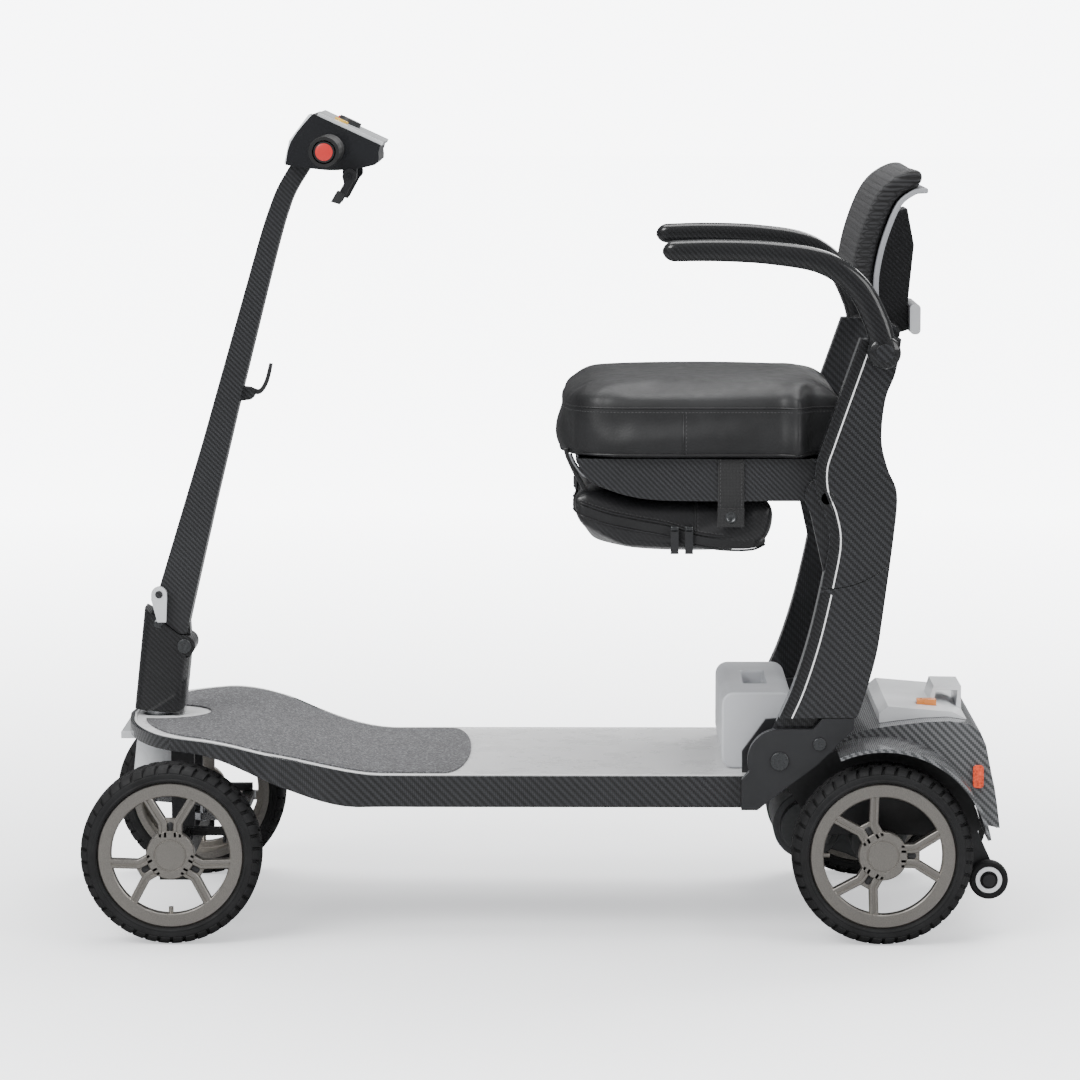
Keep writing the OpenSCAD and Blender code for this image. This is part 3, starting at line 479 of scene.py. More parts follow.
def grit_finish(name, color):
    """Grit sheet: dark grains with scattered pale specks."""
    f = Finish(name, color, 0.9)
    speck = f.cells(650, "F1", output="Color")
    split = f.node("ShaderNodeSeparateColor")
    f.link(speck, split.inputs[0])
    tone = f.math("ADD", f.math("POWER", split.outputs[0], 5.0), f.math("MULTIPLY", f.noise(300, 5), 0.5))
    f.tint(tone, shade(color, 0.55), shade(color, 2.6), 0.1, 1.2)
    f.bump(f.cells(750), 0.0004, 0.8)
    return f.material


def mesh_finish(name, color, rib=0.0052):
    """Knitted mesh: rows of ribs up the pad, each crossed by slanted stitches; its colour follows the knit, with
    painted shade in the holes and between the ribs.
    """
    f = Finish(name, color, 0.8, 0.0, Sheen_Weight=0.05, Sheen_Roughness=0.5)
    split = f.node("ShaderNodeSeparateXYZ")
    f.link(f.place, split.inputs[0])
    y, z = split.outputs[1], split.outputs[2]
    row = f.math("DIVIDE", z, rib)
    lean = f.math("MULTIPLY", f.math("PINGPONG", row, 1.0), 0.0035)
    stitch = f.math("ABSOLUTE", f.math("SINE", f.math("MULTIPLY", f.math("ADD", y, lean), math.pi / 0.0036)))
    ribs = f.math("ABSOLUTE", f.math("SINE", f.math("MULTIPLY", row, math.pi)))
    knit = f.math("MULTIPLY", f.math("POWER", ribs, 0.6), f.math("ADD", f.math("MULTIPLY", stitch, 0.7), 0.3))
    # painted shade: the colour is darkest in the stitch holes and the troughs between ribs, and lightest on the
    # ribs
    f.tint(knit, shade(color, 0.2), shade(color, 2.2), 0.1, 0.9)
    f.bump(knit, 0.0009, 0.9)
    return f.material


def weave_finish(name, color, pitch=0.0016):
    f = Finish(name, color, 0.75, 0.0, Sheen_Weight=0.15)
    u, v = f.face_plane()
    a = f.math("ABSOLUTE", f.math("SINE", f.math("MULTIPLY", u, math.pi / pitch)))
    b = f.math("ABSOLUTE", f.math("SINE", f.math("MULTIPLY", v, math.pi / pitch)))
    f.tint(f.math("MULTIPLY", a, b), shade(color, 0.6), shade(color, 1.7), 0.1, 0.8)
    f.bump(f.math("MAXIMUM", a, b), 0.0003, 0.7)
    return f.material


def reflector_finish(name, color):
    f = Finish(name, color, 0.15, 0.0, Coat_Weight=1.0, Coat_Roughness=0.03)
    cell = f.cells(330, "F1")
    f.tint(cell, shade(color, 0.6), shade(color, 1.3), 0.1, 0.9)
    f.bump(cell, 0.0006, 0.7)
    return f.material


def lens_finish(name, color):
    f = Finish(name, color, 0.25, 0.0, Coat_Weight=0.6, Coat_Roughness=0.05)
    f.shader.inputs["Emission Color"].default_value = (0.9, 0.95, 1.0, 1)
    f.shader.inputs["Emission Strength"].default_value = 0.35
    ribs = f.noise(160, 2, (1, 4, 1))
    f.tint(ribs, shade(color, 0.92), shade(color, 1.0))
    f.bump(ribs, 0.0002, 0.4)
    return f.material


# The white backdrop as the camera sees it: colour, and strength beyond the light it gives
BACKDROP_COLOR = (0.97, 0.98, 1.0, 1)
BACKDROP_GLOW = 7.0


def floor_finish(name, color):
    """Matt floor, darker to reflections than to the eye, that glows into the white backdrop further out."""
    f = Finish(name, color, 0.6, 0.0, Specular_IOR_Level=0.2)
    rays = f.node("ShaderNodeLightPath")
    f.tint(rays.outputs["Is Glossy Ray"], color, shade(color, 0.22), 0.0, 1.0)
    away = f.node("ShaderNodeVectorMath", operation="LENGTH")
    f.link(f.place, away.inputs[0])
    glow = f.spread(away.outputs["Value"], 0.7, BACKDROP_GLOW, None, 0.5, 4.5)
    f.link(f.math("MULTIPLY", glow, rays.outputs["Is Camera Ray"]), f.shader.inputs["Emission Strength"])
    f.shader.inputs["Emission Color"].default_value = BACKDROP_COLOR
    return f.material


FINISHES = {}


def build_finishes(p):
    """Makes every material, the carbon, deck, rim and leather ones from the colours in the panel."""
    c, metal = tuple(p.carbon_color), tuple(p.rim_color)
    table = {
        "carbon": carbon_finish("clear_coated_twill", c),
        "carbon_fine": carbon_finish("fine_twill", shade(c, 1.1), 0.0015, 0.06),
        "carbon_black": carbon_finish("dark_gloss_twill", shade(c, 0.55), 0.0015, 0.03),
        "white": moulded_finish("white_deck_skin", tuple(p.deck_color), 0.28, 500, 0.00002, 0.3, 0.015),
        "grit": grit_finish("grit_sheet", (0.075, 0.075, 0.078)),
        "black_paint": painted_finish("satin_black_paint", (0.014, 0.0145, 0.016), 0.4),
        "bolt": metal_finish("black_oxide_steel", (0.16, 0.165, 0.17), 0.32),
        "casting": metal_finish("cast_aluminium", (0.2, 0.205, 0.21), 0.5, (1, 1, 1), 260),
        "machined": metal_finish("machined_steel", (0.6, 0.61, 0.63), 0.28, (1, 18, 1)),
        "rim": metal_finish("warm_satin_rim", metal, 0.36, (1, 1, 1), 900),
        "silver": moulded_finish("silver_moulding", (0.55, 0.56, 0.57), 0.3, 700, 0.00002, 0.4),
        "pale": moulded_finish("pale_lid", (0.72, 0.73, 0.74), 0.35, 700, 0.00003, 0.3),
        "battery": moulded_finish("battery_case", (0.5, 0.51, 0.53), 0.42, 700, 0.00004, 0.1),
        "black": moulded_finish("black_moulding", (0.018, 0.0185, 0.02), 0.42, 800, 0.00004, 0.1),
        "black_gloss": moulded_finish("black_gloss", (0.012, 0.0125, 0.014), 0.14, 300, 0.00001, 0.6),
        "grey": moulded_finish("grey_shell", (0.26, 0.265, 0.28), 0.38, 800, 0.00004, 0.15),
        "orange": moulded_finish("orange_button", (0.86, 0.27, 0.05), 0.3, 500, 0.00002, 0.3),
        "red": moulded_finish("red_cap", (0.5, 0.02, 0.018), 0.34, 500, 0.00002, 0.3),
        "yellow": moulded_finish("yellow_button", (0.7, 0.42, 0.04), 0.32, 500, 0.00002, 0.3),
        "tyre": rubber_finish("tyre_rubber", (0.009, 0.009, 0.0095)),
        "rubber": rubber_finish("grip_rubber", (0.012, 0.012, 0.0125)),
        "leather": leather_finish("seat_leather", tuple(p.leather_color)),
        "bag": carbon_finish("bag_leather", (0.012, 0.012, 0.013), 0.0014, 0.3),
        "carbon_light": carbon_finish("bright_twill", (0.085, 0.087, 0.09), 0.0022, 0.08),
        "piping": leather_finish("piping_leather", (0.012, 0.012, 0.013), 700),
        "mesh": mesh_finish("back_mesh", (0.01, 0.01, 0.011)),
        "webbing": weave_finish("strap_webbing", (0.012, 0.012, 0.0125)),
        "reflector": reflector_finish("red_reflector", (0.7, 0.07, 0.02)),
        "lens": lens_finish("frosted_lens", (0.85, 0.88, 0.9)),
        "thread": moulded_finish("thread", (0.05, 0.05, 0.052), 0.7, 1500, 0.00005),
        "floor": floor_finish("pale_floor", (0.9, 0.905, 0.91)),
    }
    FINISHES.update(table)


# ---------- panel ----------


class ScooterSizes(bpy.types.PropertyGroup):
    """Sizes of the pieces that are drawn over the frame."""

    tread_depth: FloatProperty(
        name="Tread depth", description="How deep the grooves in the tyres are", default=0.0032,
        min=0.001, max=0.006, unit="LENGTH",
    )
    stitch_pitch: FloatProperty(
        name="Stitch pitch", description="Step from one stitch to the next", default=0.0065,
        min=0.004, max=0.012, unit="LENGTH",
    )


class ScooterColors(bpy.types.PropertyGroup):
    """Colours of the main finishes."""

    carbon_color: FloatVectorProperty(
        name="Carbon", description="Tone of the carbon twill", subtype="COLOR",
        default=(0.017, 0.0175, 0.019), min=0, max=1,
    )
    deck_color: FloatVectorProperty(
        name="Deck", description="Skin on top of the deck", subtype="COLOR",
        default=(0.78, 0.78, 0.78), min=0, max=1,
    )
    rim_color: FloatVectorProperty(
        name="Rims", description="Metal of the wheel rims", subtype="COLOR",
        default=(0.5, 0.475, 0.44), min=0, max=1,
    )
    leather_color: FloatVectorProperty(
        name="Leather", description="Cover of the seat", subtype="COLOR",
        default=(0.012, 0.0122, 0.013), min=0, max=1,
    )


# ---------- groups of pieces ----------


class Piece:
    """Common part of the operators: where they show and what they read."""

    bl_options = {"REGISTER", "UNDO"}

    def execute(self, context):
        self.build(context.scene.scooter_sizes)
        return {"FINISHED"}


class SCOOTER_OT_finishes(Piece, bpy.types.Operator):
    """Makes the finishes and puts one on every piece of the frame"""

    bl_idname = "scooter.finishes"
    bl_label = "Finishes"

    SLOTS = {
        "carbon": "carbon", "white_panel": "white", "grip_sheet": "grit", "dark_metal": "black_paint",
        "bolt_steel": "bolt", "motor_black": "casting", "controller": "black", "silver_plastic": "silver",
        "battery_grey": "battery", "orange": "orange", "reflector_red": "reflector", "steel": "machined",
        "head_silver": "silver", "tyre_rubber": "tyre", "rim_metal": "rim", "black_plastic": "black",
        "grip_rubber": "rubber", "lens": "lens", "red_button": "red", "yellow_button": "yellow",
        "leather": "leather", "webbing": "webbing", "mesh_fabric": "mesh", "grey_plastic": "grey",
        "handle_silver": "silver", "small_wheel": "rubber",
    }

    def build(self, sizes):
        build_finishes(bpy.context.scene.scooter_colors)
        for node, obj in frame["nodes"].items():
            obj.data.materials.clear()
            obj.data.materials.append(FINISHES[self.SLOTS[node_slot(node)]])
            obj.data.polygons.foreach_set("use_smooth", [True] * len(obj.data.polygons))


class SCOOTER_OT_shells(Piece, bpy.types.Operator):
    """Rounds the edges of the moulded and machined parts"""

    bl_idname = "scooter.shells"
    bl_label = "Moulded parts"

    # node: (finish, edge radius in mm)
    PARTS = {
        "deck_shell": ("carbon", 1.5), "deck_top_panel": ("white", 0.8),
        "knee_brackets": ("black_paint", 1.5),
        "rear_frame": ("black_paint", 1.0), "anti_tip_arms": ("black_paint", 1.0),
        "front_axle_beam": ("black_paint", 1.0), "knuckle_left": ("black_paint", 0.8),
        "knuckle_right": ("black_paint", 0.8), "head_tube": ("silver", 1.0),
        "transaxle_case": ("casting", 2.0), "drive_motor": ("casting", 1.5),
        "rear_fender": ("carbon_light", 1.5),
        "rear_lid": ("pale", 1.5), "battery_pack": ("battery", 3.0), "release_button": ("orange", 0.8),
        "column_shell": ("carbon_black", 2.0), "tiller_tube": ("carbon_fine", 2.0),
        "tiller_head": ("black_gloss", 2.0), "console_cover": ("silver", 2.0),
        "headlight_lens": ("lens", 0.6), "throttle_lever": ("black", 0.8), "brake_lever": ("black", 0.8),
        "speed_dial": ("black", 0.6), "power_button": ("red", 0.5), "horn_button": ("yellow", 0.5),
        "bag_hook": ("black", 0.8), "tiller_latch": ("silver", 0.6), "post_frame": ("carbon", 2.0),
        "seat_frame": ("carbon", 2.0), "seat_base": ("carbon_fine", 2.5), "back_neck": ("carbon_black", 2.0),
        "back_shell": ("grey", 2.0), "rear_reflectors": ("reflector", 0.5),
        "knee_pins": ("bolt", 0.5), "tiller_hinge_pin": ("bolt", 0.4), "handlebar": ("machined", 0.3),
    }

    def build(self, sizes):
        for node, (finish, bevel) in self.PARTS.items():
            softened(node, FINISHES[finish], bevel)


class SCOOTER_OT_wheels(Piece, bpy.types.Operator):
    """Moulds the four tyres with their treads and casts the four rims"""

    bl_idname = "scooter.wheels"
    bl_label = "Wheels"

    LUGS = 42
    # (across the tyre, radius, side of the tread: 0 wall, 1 shoulder, 2 crown)
    HALF = [
        (22.5, 81.0, 0), (24.5, 81.3, 0), (26.4, 82.4, 0), (27.2, 84.2, 0), (26.6, 85.6, 0), (26.9, 87.5, 0),
        (26.6, 90.2, 0), (25.9, 91.2, 0), (26.2, 92.2, 1), (25.0, 94.6, 1), (22.6, 97.0, 1), (19.2, 98.8, 1),
        (15.0, 99.7, 1), (12.6, 99.9, 1), (11.4, 97.2, 0), (10.0, 97.2, 0), (8.8, 99.95, 2), (5.4, 100.0, 2),
        (2.4, 100.0, 2), (1.4, 97.6, 0), (0.0, 97.6, 0),
    ]

    def tyre(self, name, x, s, body, depth):
        """A tyre: the section's radius drops by the tread depth inside each notch; the notches of the
        shoulder and of the crown are half a lug apart, and both lean with distance across the tyre."""
        half = np.array(self.HALF)
        full = np.vstack([half, (half * [-1, 1, 1])[-2::-1]])
        across, radius, kind = full.T
        phase = np.array([0.0, 0.05, 0.24, 0.29, 0.5, 0.55, 0.74, 0.79])
        lug = (np.arange(self.LUGS)[:, None] + phase).ravel()
        step = np.tile(np.arange(len(phase)), self.LUGS)
        low_shoulder = np.isin(step, (1, 2))[:, None] & (kind == 1)[None]
        low_crown = np.isin(step, (5, 6))[:, None] & (kind == 2)[None]
        drop = depth * (low_shoulder + low_crown * 0.7)
        angle = (lug[:, None] + 0.45 * np.abs(across)[None] / 27) / self.LUGS * TAU
        r = radius[None] - drop
        h = across[None] - 0.35 * drop * np.sign(across)[None]
        points = np.stack([x + r * np.cos(angle), s * WHEEL_Y + h + 0 * r, AXLE_Z + r * np.sin(angle)], -1)
        faces = grid_faces(len(lug), len(full), True, True)
        piece("tyre_tread_" + name, [(points.reshape(-1, 3), faces.tolist())], "tyre", body,
              ["tyre_" + name], 28)

    def rim(self, name, x, s, turn, body):
        """A rim: a turned ring, barrel and hub, and six bent arms with a groove along each."""
        centre, axis = np.array([x, s * WHEEL_Y, AXLE_Z]), (0, s, 0)
        ring = [(-23.5, 81), (-23.5, 74), (8, 74), (9.5, 72.5), (9.5, 66.3), (10.5, 65.5), (22.3, 65.5),
                (23.4, 66.6), (23.4, 79.2), (22.2, 80.9)]
        hub = [(-23.4, 8.5), (-23.4, 17), (-22.4, 18), (5, 18), (9, 26), (10, 27), (22.2, 27), (23.3, 26),
               (23.3, 18), (22.7, 17.6), (22.7, 16.8), (23.3, 16.4), (23.5, 12), (23.6, 0.0), (20.9, 0.0),
               (20.9, 8.5)]
        shapes = [turned(ring, centre, axis, 96, True), turned(hub, centre, axis, 64, True)]
        arm = [(-4.9, -14), (4.9, -14), (4.9, -0.8), (4.1, 0), (1.5, 0), (1.2, -1.8), (-1.2, -1.8), (-1.5, 0),
               (-4.1, 0), (-4.9, -0.8)]
        pockets = []
        for a in (turn, turn + 120, turn + 240):
            u = np.array([math.cos(math.radians(a)), 0, math.sin(math.radians(a))])
            v = np.array([-u[2], 0, u[0]])
            for d in (-1, 1):
                bend = np.array([(20, 8.2), (30, 8.2), (35.5, 8.6), (38.5, 10.2), (42, 12.4), (66.5, 27.6)])
                path = centre + np.array([0, s * 23.3, 0]) + bend[:, :1] * u + bend[:, 1:] * d * v
                shapes.append(carried(path, np.array(arm) * [1, s], (0, 1, 0)))
            joint = centre + 31 * u
            shapes.append(slab(rounded(19, 14, 2), [(0, 0), (0, 6), (0.8, 6.8)], joint + [0, s * 12, 0], u, v * -s))
            pockets.append(slab(rounded(11, 7, 3), [(0, 0), (0, 1.2), (0.5, 1.6)],
                                joint + [0, s * 18.2, 0], u, v * -s))
        low = math.radians(turn + 180)
        stub = centre + 62.5 * np.array([math.cos(low), 0, math.sin(low)]) + [0, s * 15, 0]
        valve = [(-4, 0), (-4, 2.6), (3.4, 2.6), (4, 2), (4, 0)]
        shapes.append(turned(valve, stub, (math.cos(low), 0, math.sin(low)), 16))
        piece("rim_cast_" + name, shapes, "rim", body, ["rim_" + name], 35)
        piece("rim_slots_" + name, pockets, "black", body)

    def build(self, sizes):
        for name, x, s, turn in (
            ("front_left", FRONT_X, -1, 90), ("front_right", FRONT_X, 1, 90),
            ("rear_left", REAR_X, -1, 0), ("rear_right", REAR_X, 1, 0),
        ):
            body = "wheel_" + name
            self.tyre(name, x, s, body, sizes.tread_depth / MM)
            self.rim(name, x, s, turn, body)
        for side, s in (("left", -1), ("right", 1)):
            tip = [492, s * 158, 60]
            tread = [(-7, 4.4), (-7, 9), (-5.6, 9.6), (-5.6, 15), (-7, 15.6), (-6.8, 19.6), (-4.6, 21.7),
                     (0, 22), (4.6, 21.7), (6.8, 19.6), (7, 15.6), (5.6, 15), (5.6, 9.6), (7, 9), (7, 4.4)]
            piece("tip_tyre_" + side, [turned(tread, tip, (0, 1, 0), 48, True)], "tyre",
                  "anti_tip_wheel_" + side, ["anti_tip_wheel_" + side], 35)
            ring = [(5.4, 9.8), (6.4, 10.2), (6.6, 12.5), (6.4, 14.6), (5.4, 15)]
            rings = [turned([(h * k, r) for h, r in ring], tip, (0, 1, 0), 48, True) for k in (1, -1)]
            piece("tip_ring_" + side, rings, "pale", "anti_tip_wheel_" + side)


def soft_form(node, finish, voxel, rounding, cap, keep):
    """A soft copy of a CAD solid. Its mesh is remade in even cells, its corners are eased by moving
    each point halfway to the mean of its neighbours, and it is blown up as cloth from inside, with no
    point moving further than cap. keep(points in mm) then holds it clear of what is beside it."""
    mesh = frame["nodes"][node].data.copy()
    bm = bmesh.new()
    bm.from_mesh(mesh)
    bmesh.ops.remove_doubles(bm, verts=bm.verts, dist=2e-5)
    bm.to_mesh(mesh)
    bm.free()
    obj = bpy.data.objects.new("soft_" + node, mesh)
    bpy.context.scene.collection.objects.link(obj)
    cells = obj.modifiers.new("cells", "REMESH")
    cells.mode = "VOXEL"
    cells.voxel_size = voxel
    apply_modifiers(obj)
    mesh = obj.data
    count = len(mesh.vertices)
    edges = np.empty(len(mesh.edges) * 2, int)
    mesh.edges.foreach_get("vertices", edges)
    edges = edges.reshape(-1, 2)
    points = read_points(mesh)
    degree = np.bincount(edges.ravel(), minlength=count)[:, None]

    def eased(points, passes):
        for _ in range(passes):
            total = np.zeros_like(points)
            for axis in range(3):
                total[:, axis] = np.bincount(edges[:, 0], points[edges[:, 1], axis], count) + np.bincount(
                    edges[:, 1], points[edges[:, 0], axis], count
                )
            points = points + 0.5 * (total / degree - points)
        return points

    points = eased(points, rounding)
    write_points(mesh, points)
    inflate(obj, points, cap)
    write_points(mesh, eased(read_points(mesh), 4))
    write_points(mesh, keep(read_points(mesh) / MM) * MM)
    mesh.polygons.foreach_set("use_smooth", [True] * len(mesh.polygons))
    mesh.materials.clear()
    mesh.materials.append(FINISHES[finish])
    finer = obj.modifiers.new("finer", "SUBSURF")
    finer.levels = finer.render_levels = 1
    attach(obj, node_body(node))
    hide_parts(node)
    return obj


def inflate(obj, points, cap):
    """Runs the cloth under pressure for 20 frames and keeps each point's move, cut to the cap."""
    scene = bpy.context.scene
    low = points[:, 2].min()
    held = obj.vertex_groups.new(name="held")
    held.add(np.flatnonzero(points[:, 2] < low + 0.006).tolist(), 1.0, "REPLACE")
    cloth = obj.modifiers.new("pressure", "CLOTH")
    cloth.settings.use_pressure = True
    cloth.settings.uniform_pressure_force = 4.0
    cloth.settings.effector_weights.gravity = 0.0
    cloth.settings.vertex_group_mass = "held"
    cloth.point_cache.frame_start = 1
    cloth.point_cache.frame_end = 20
    for step in range(1, 21):
        scene.frame_set(step)
    grown = obj.evaluated_get(bpy.context.evaluated_depsgraph_get()).data
    move = read_points(grown) - points
    obj.modifiers.remove(cloth)
    obj.vertex_groups.clear()
    scene.frame_set(1)
    length = np.linalg.norm(move, axis=1)[:, None] + 1e-9
    write_points(obj.data, points + move * np.minimum(1, cap / length))


def read_points(mesh):
    flat = np.empty(len(mesh.vertices) * 3)
    mesh.vertices.foreach_get("co", flat)
    return flat.reshape(-1, 3)


def write_points(mesh, points):
    mesh.vertices.foreach_set("co", np.ascontiguousarray(points).ravel())
    mesh.update()


def apply_modifiers(obj):
    made = bpy.data.meshes.new_from_object(obj.evaluated_get(bpy.context.evaluated_depsgraph_get()))
    obj.modifiers.clear()
    obj.data = made


def laid_on(obj, origins, directions, lift):
    """Where rays from the origins meet a soft piece, in mm, lifted off it along the ray; the
    points whose ray misses are left out. One direction may serve every ray."""
    tree = BVHTree.FromObject(obj, bpy.context.evaluated_depsgraph_get())
    hits = []
    origins = np.asarray(origins, float)
    for origin, direction in zip(origins, np.broadcast_to(np.asarray(directions, float), origins.shape)):
        direction = direction / np.linalg.norm(direction)
        hit = tree.ray_cast(Vector(origin * MM), Vector(direction))[0]
        if hit:
            hits.append(np.array(hit) / MM - direction * lift)
    return np.array(hits)


def ramp(value, low, high):
    """0 below low, 1 above high and smooth between."""
    t = np.clip((value - low) / (high - low), 0, 1)
    return t * t * (3 - 2 * t)


class SCOOTER_OT_padding(Piece, bpy.types.Operator):
    """Blows up the seat cushion, the bag and the back pad, and lays the seams and stitches of the cushion and the
    bag
    """

    bl_idname = "scooter.padding"
    bl_label = "Padding"

    @staticmethod
    def keep_cushion(p):
        x, y, z = p.T
        u, v = np.clip((x - 169) / 165, -1, 1), np.clip(y / 195, -1, 1)
        z = z + ramp(z, 578, 602) * (9 * (1 - u**2) * (1 - v**2) - 6 * np.maximum(u**8, v**8))
        z = np.clip(z, 533.4, 620)
        y = y * (190 - 18 * ramp(x, 274, 293)) / (190 - 18 * ramp(x, 255, 284))
        side = 197 - 24.5 * ramp(x, 276, 292)
        return np.stack([np.clip(x, 6, 331), np.clip(y, -side, side), z], 1)

    @staticmethod
    def keep_bag(p):
        x, y, z = p.T
        z = z + 11 * ramp(z, 455, 478) * (1 - ramp(x, 30, 90))
        roof = np.interp(x, [33, 49, 101, 169, 400], [520, 503, 487.5, 485.4, 485.4])
        near_pulls = (1 - ramp(np.abs(x - 148), 20, 34)) * (1 - ramp(z, 456, 466))
        side = 168 - 6.6 * near_pulls
        return np.stack([np.clip(x, 12, 262), np.clip(y, -side, side), np.clip(z, 422, roof)], 1)

    @staticmethod
    def keep_pad(p):
        x, y, z = p.T
        return np.stack([x, np.clip(y, -168, 168), z], 1)

    def build(self, sizes):
        pitch = sizes.stitch_pitch / MM
        cushion = soft_form("seat_cushion", "leather", 0.006, 12, 0.006, self.keep_cushion)
        bag = soft_form("under_seat_bag", "bag", 0.006, 14, 0.007, self.keep_bag)
        soft_form("back_pad", "mesh", 0.005, 7, 0.004, self.keep_pad)
        self.cushion_seams(cushion, pitch)
        self.bag_seams(bag, pitch)

    def cushion_seams(self, cushion, pitch):
        a = np.linspace(math.radians(-148), math.radians(148), 240)
        across = 260 * np.sin(a)
        start = np.stack([165 - 260 * np.cos(a), across, 0 * a], 1)
        inward = np.stack([260 * np.cos(a), -0.8 * across, 0 * a], 1)
        seams, threads = [], []
        for z in (589.5, 585):
            row = laid_on(cushion, start + [0, 0, z], inward, 0.1)
            row = row[row[:, 0] < 318]
            if z > 588:
                seams.append(carried(even(row, 220), circle(1.1, 8)))
            threads.append(dashes(row, pitch * 0.6, 2.6, 0.42))
        for s in (-1, 1):
            z = np.linspace(584, 537, 24)
            origin = np.stack([0 * z + 149, 0 * z + s * 230, z], 1)
            wall = laid_on(cushion, origin, (0, -s, 0), 0.1)
            seams.append(carried(wall, circle(0.9, 8), (1, 0, 0)))
            threads.append(dashes(wall + [3.2, 0, 0], pitch * 0.6, 2.6, 0.4, (1, 0, 0)))
        hem = laid_on(cushion, start + [0, 0, 538], inward, 0.2)
        hem = hem[hem[:, 0] < 312]
        seams.append(carried(even(hem, 200), circle(1.5, 8)))
        piece("cushion_seams", seams, "piping", "seat")
        piece("cushion_stitches", threads, "thread", "seat")

    def bag_seams(self, bag, pitch):
        sides = [(248, 441), (215, 436), (170, 440), (132, 451), (100, 457), (64, 465), (36, 475)]
        zips, teeth, threads, cords = [], [], [], []
        wall = spline(sides, 60)
        left = laid_on(bag, side_view(wall, -230), (0, 1, 0), 0.3)
        right = laid_on(bag, side_view(wall, 230), (0, -1, 0), 0.3)
        y = np.linspace(-140, 140, 50)
        front = laid_on(bag, np.stack([0 * y - 60, y, 0 * y + 480], 1), (1, 0, 0), 0.3)
        path = spline(np.vstack([left[::3], front[::4], right[::-3]]), 260)
        zips.append(carried(path, rounded(2.2, 10, 1.0)))
        cog = slab(rounded(1.3, 3.4, 0.4), [(0, 0), (0, 1.0), (0.3, 1.3)], (0, 0, 0), (1, 0, 0), (0, 0, 1))
        spots = even(path, 380)
        ahead = headings(spots)
        up = np.cross(np.cross(ahead, np.tile([0.0, 0, 1], (380, 1))), ahead)
        turns = np.stack([ahead, -np.cross(ahead, up), up], 1)
        teeth.append(copies((cog[0] * [1, -1, 1], cog[1]), spots - turns[:, 1] * 0.6, turns))
        for rise in (-6.5, 7.5):
            cords.append(carried(path + [0, 0, rise], circle(1.3, 8)))
        threads.append(dashes(path + [0, 0, 10.5], pitch * 0.6, 2.6, 0.4))
        for s in (-1, 1):
            z = np.linspace(480, 444, 20)
            seam = laid_on(bag, np.stack([0 * z + 163, 0 * z + s * 230, z], 1), (0, -s, 0), 0.2)
            cords.append(carried(seam, circle(1.0, 8), (1, 0, 0)))
            threads.append(dashes(seam + [3, 0, 0], pitch * 0.6, 2.6, 0.4, (1, 0, 0)))
        sliders = [slab(rounded(9, 7, 1.6), soft_edge(3.2, 1.2), (x, -162.6, 453.5), (1, 0, 0), (0, 0, 1))
                   for x in (140, 156)]
        piece("bag_zip_tape", zips, "piping", "seat")
        piece("bag_zip_teeth", teeth, "black_gloss", "seat")
        piece("bag_piping", cords, "piping", "seat")
        piece("bag_stitches", threads, "thread", "seat")
        piece("bag_sliders", sliders, "bolt", "seat")


class SCOOTER_OT_straps(Piece, bpy.types.Operator):
    """Hangs the bag's straps with their snaps and the clip at the front of the seat"""

    bl_idname = "scooter.straps"
    bl_label = "Straps"

    def build(self, sizes):
        pitch = sizes.stitch_pitch / MM
        z = np.array([532.0, 520, 505, 494, 487, 480, 473, 466, 457])
        y = np.array([177.3, 177.3, 177.3, 177.0, 176.0, 174.2, 172.6, 171.8, 171.6])
        line = spline(np.stack([0 * z + 202, -y, z], 1), 40)
        band = carried(line, rounded(2.4, 29, 1.1), (1, 0, 0))
        end = carried(line[-12:] + [0, -1.5, 0], rounded(1.6, 29.6, 0.7), (1, 0, 0))
        edge = [dashes(line + [d, -1.3, 0], pitch * 0.6, 2.6, 0.4, (1, 0, 0)) for d in (-11.8, 11.8)]
        snap = turned([(0, 0), (0, 6.8), (1.2, 7), (2.2, 6.2), (2.4, 5), (1.8, 4.2), (1.8, 0)],
                      (202, -172.8, 468), (0, -1, 0), 32)
        piece("straps_sewn", both_sides([band, end]), "webbing", "seat", ["bag_straps"])
        piece("straps_stitches", both_sides(edge), "thread", "seat")
        piece("straps_snaps", both_sides([snap]), "bolt", "seat")
        # the clip at each front corner: a strap from under the cushion's lip to the bag
        clip = spline([(19, -138, 541), (22, -138, 531), (30, -138, 514), (38, -138, 500), (45, -138, 487)], 30)
        clip_strap = carried(clip, rounded(5, 13, 2), (0, 1, 0))
        piece("clip_straps", both_sides([clip_strap]), "webbing", "seat")
        hooks = []
        for off in (-4, 4):
            hook = spline([(28, -146, 536), (33, -146, 525), (42, -146, 513), (49, -146, 509)], 16) + [off, 0, 0]
            hooks.append(carried(hook, circle(2.1, 12), (0, 1, 0)))
        piece("clip_hooks", both_sides(hooks), "machined", "seat")


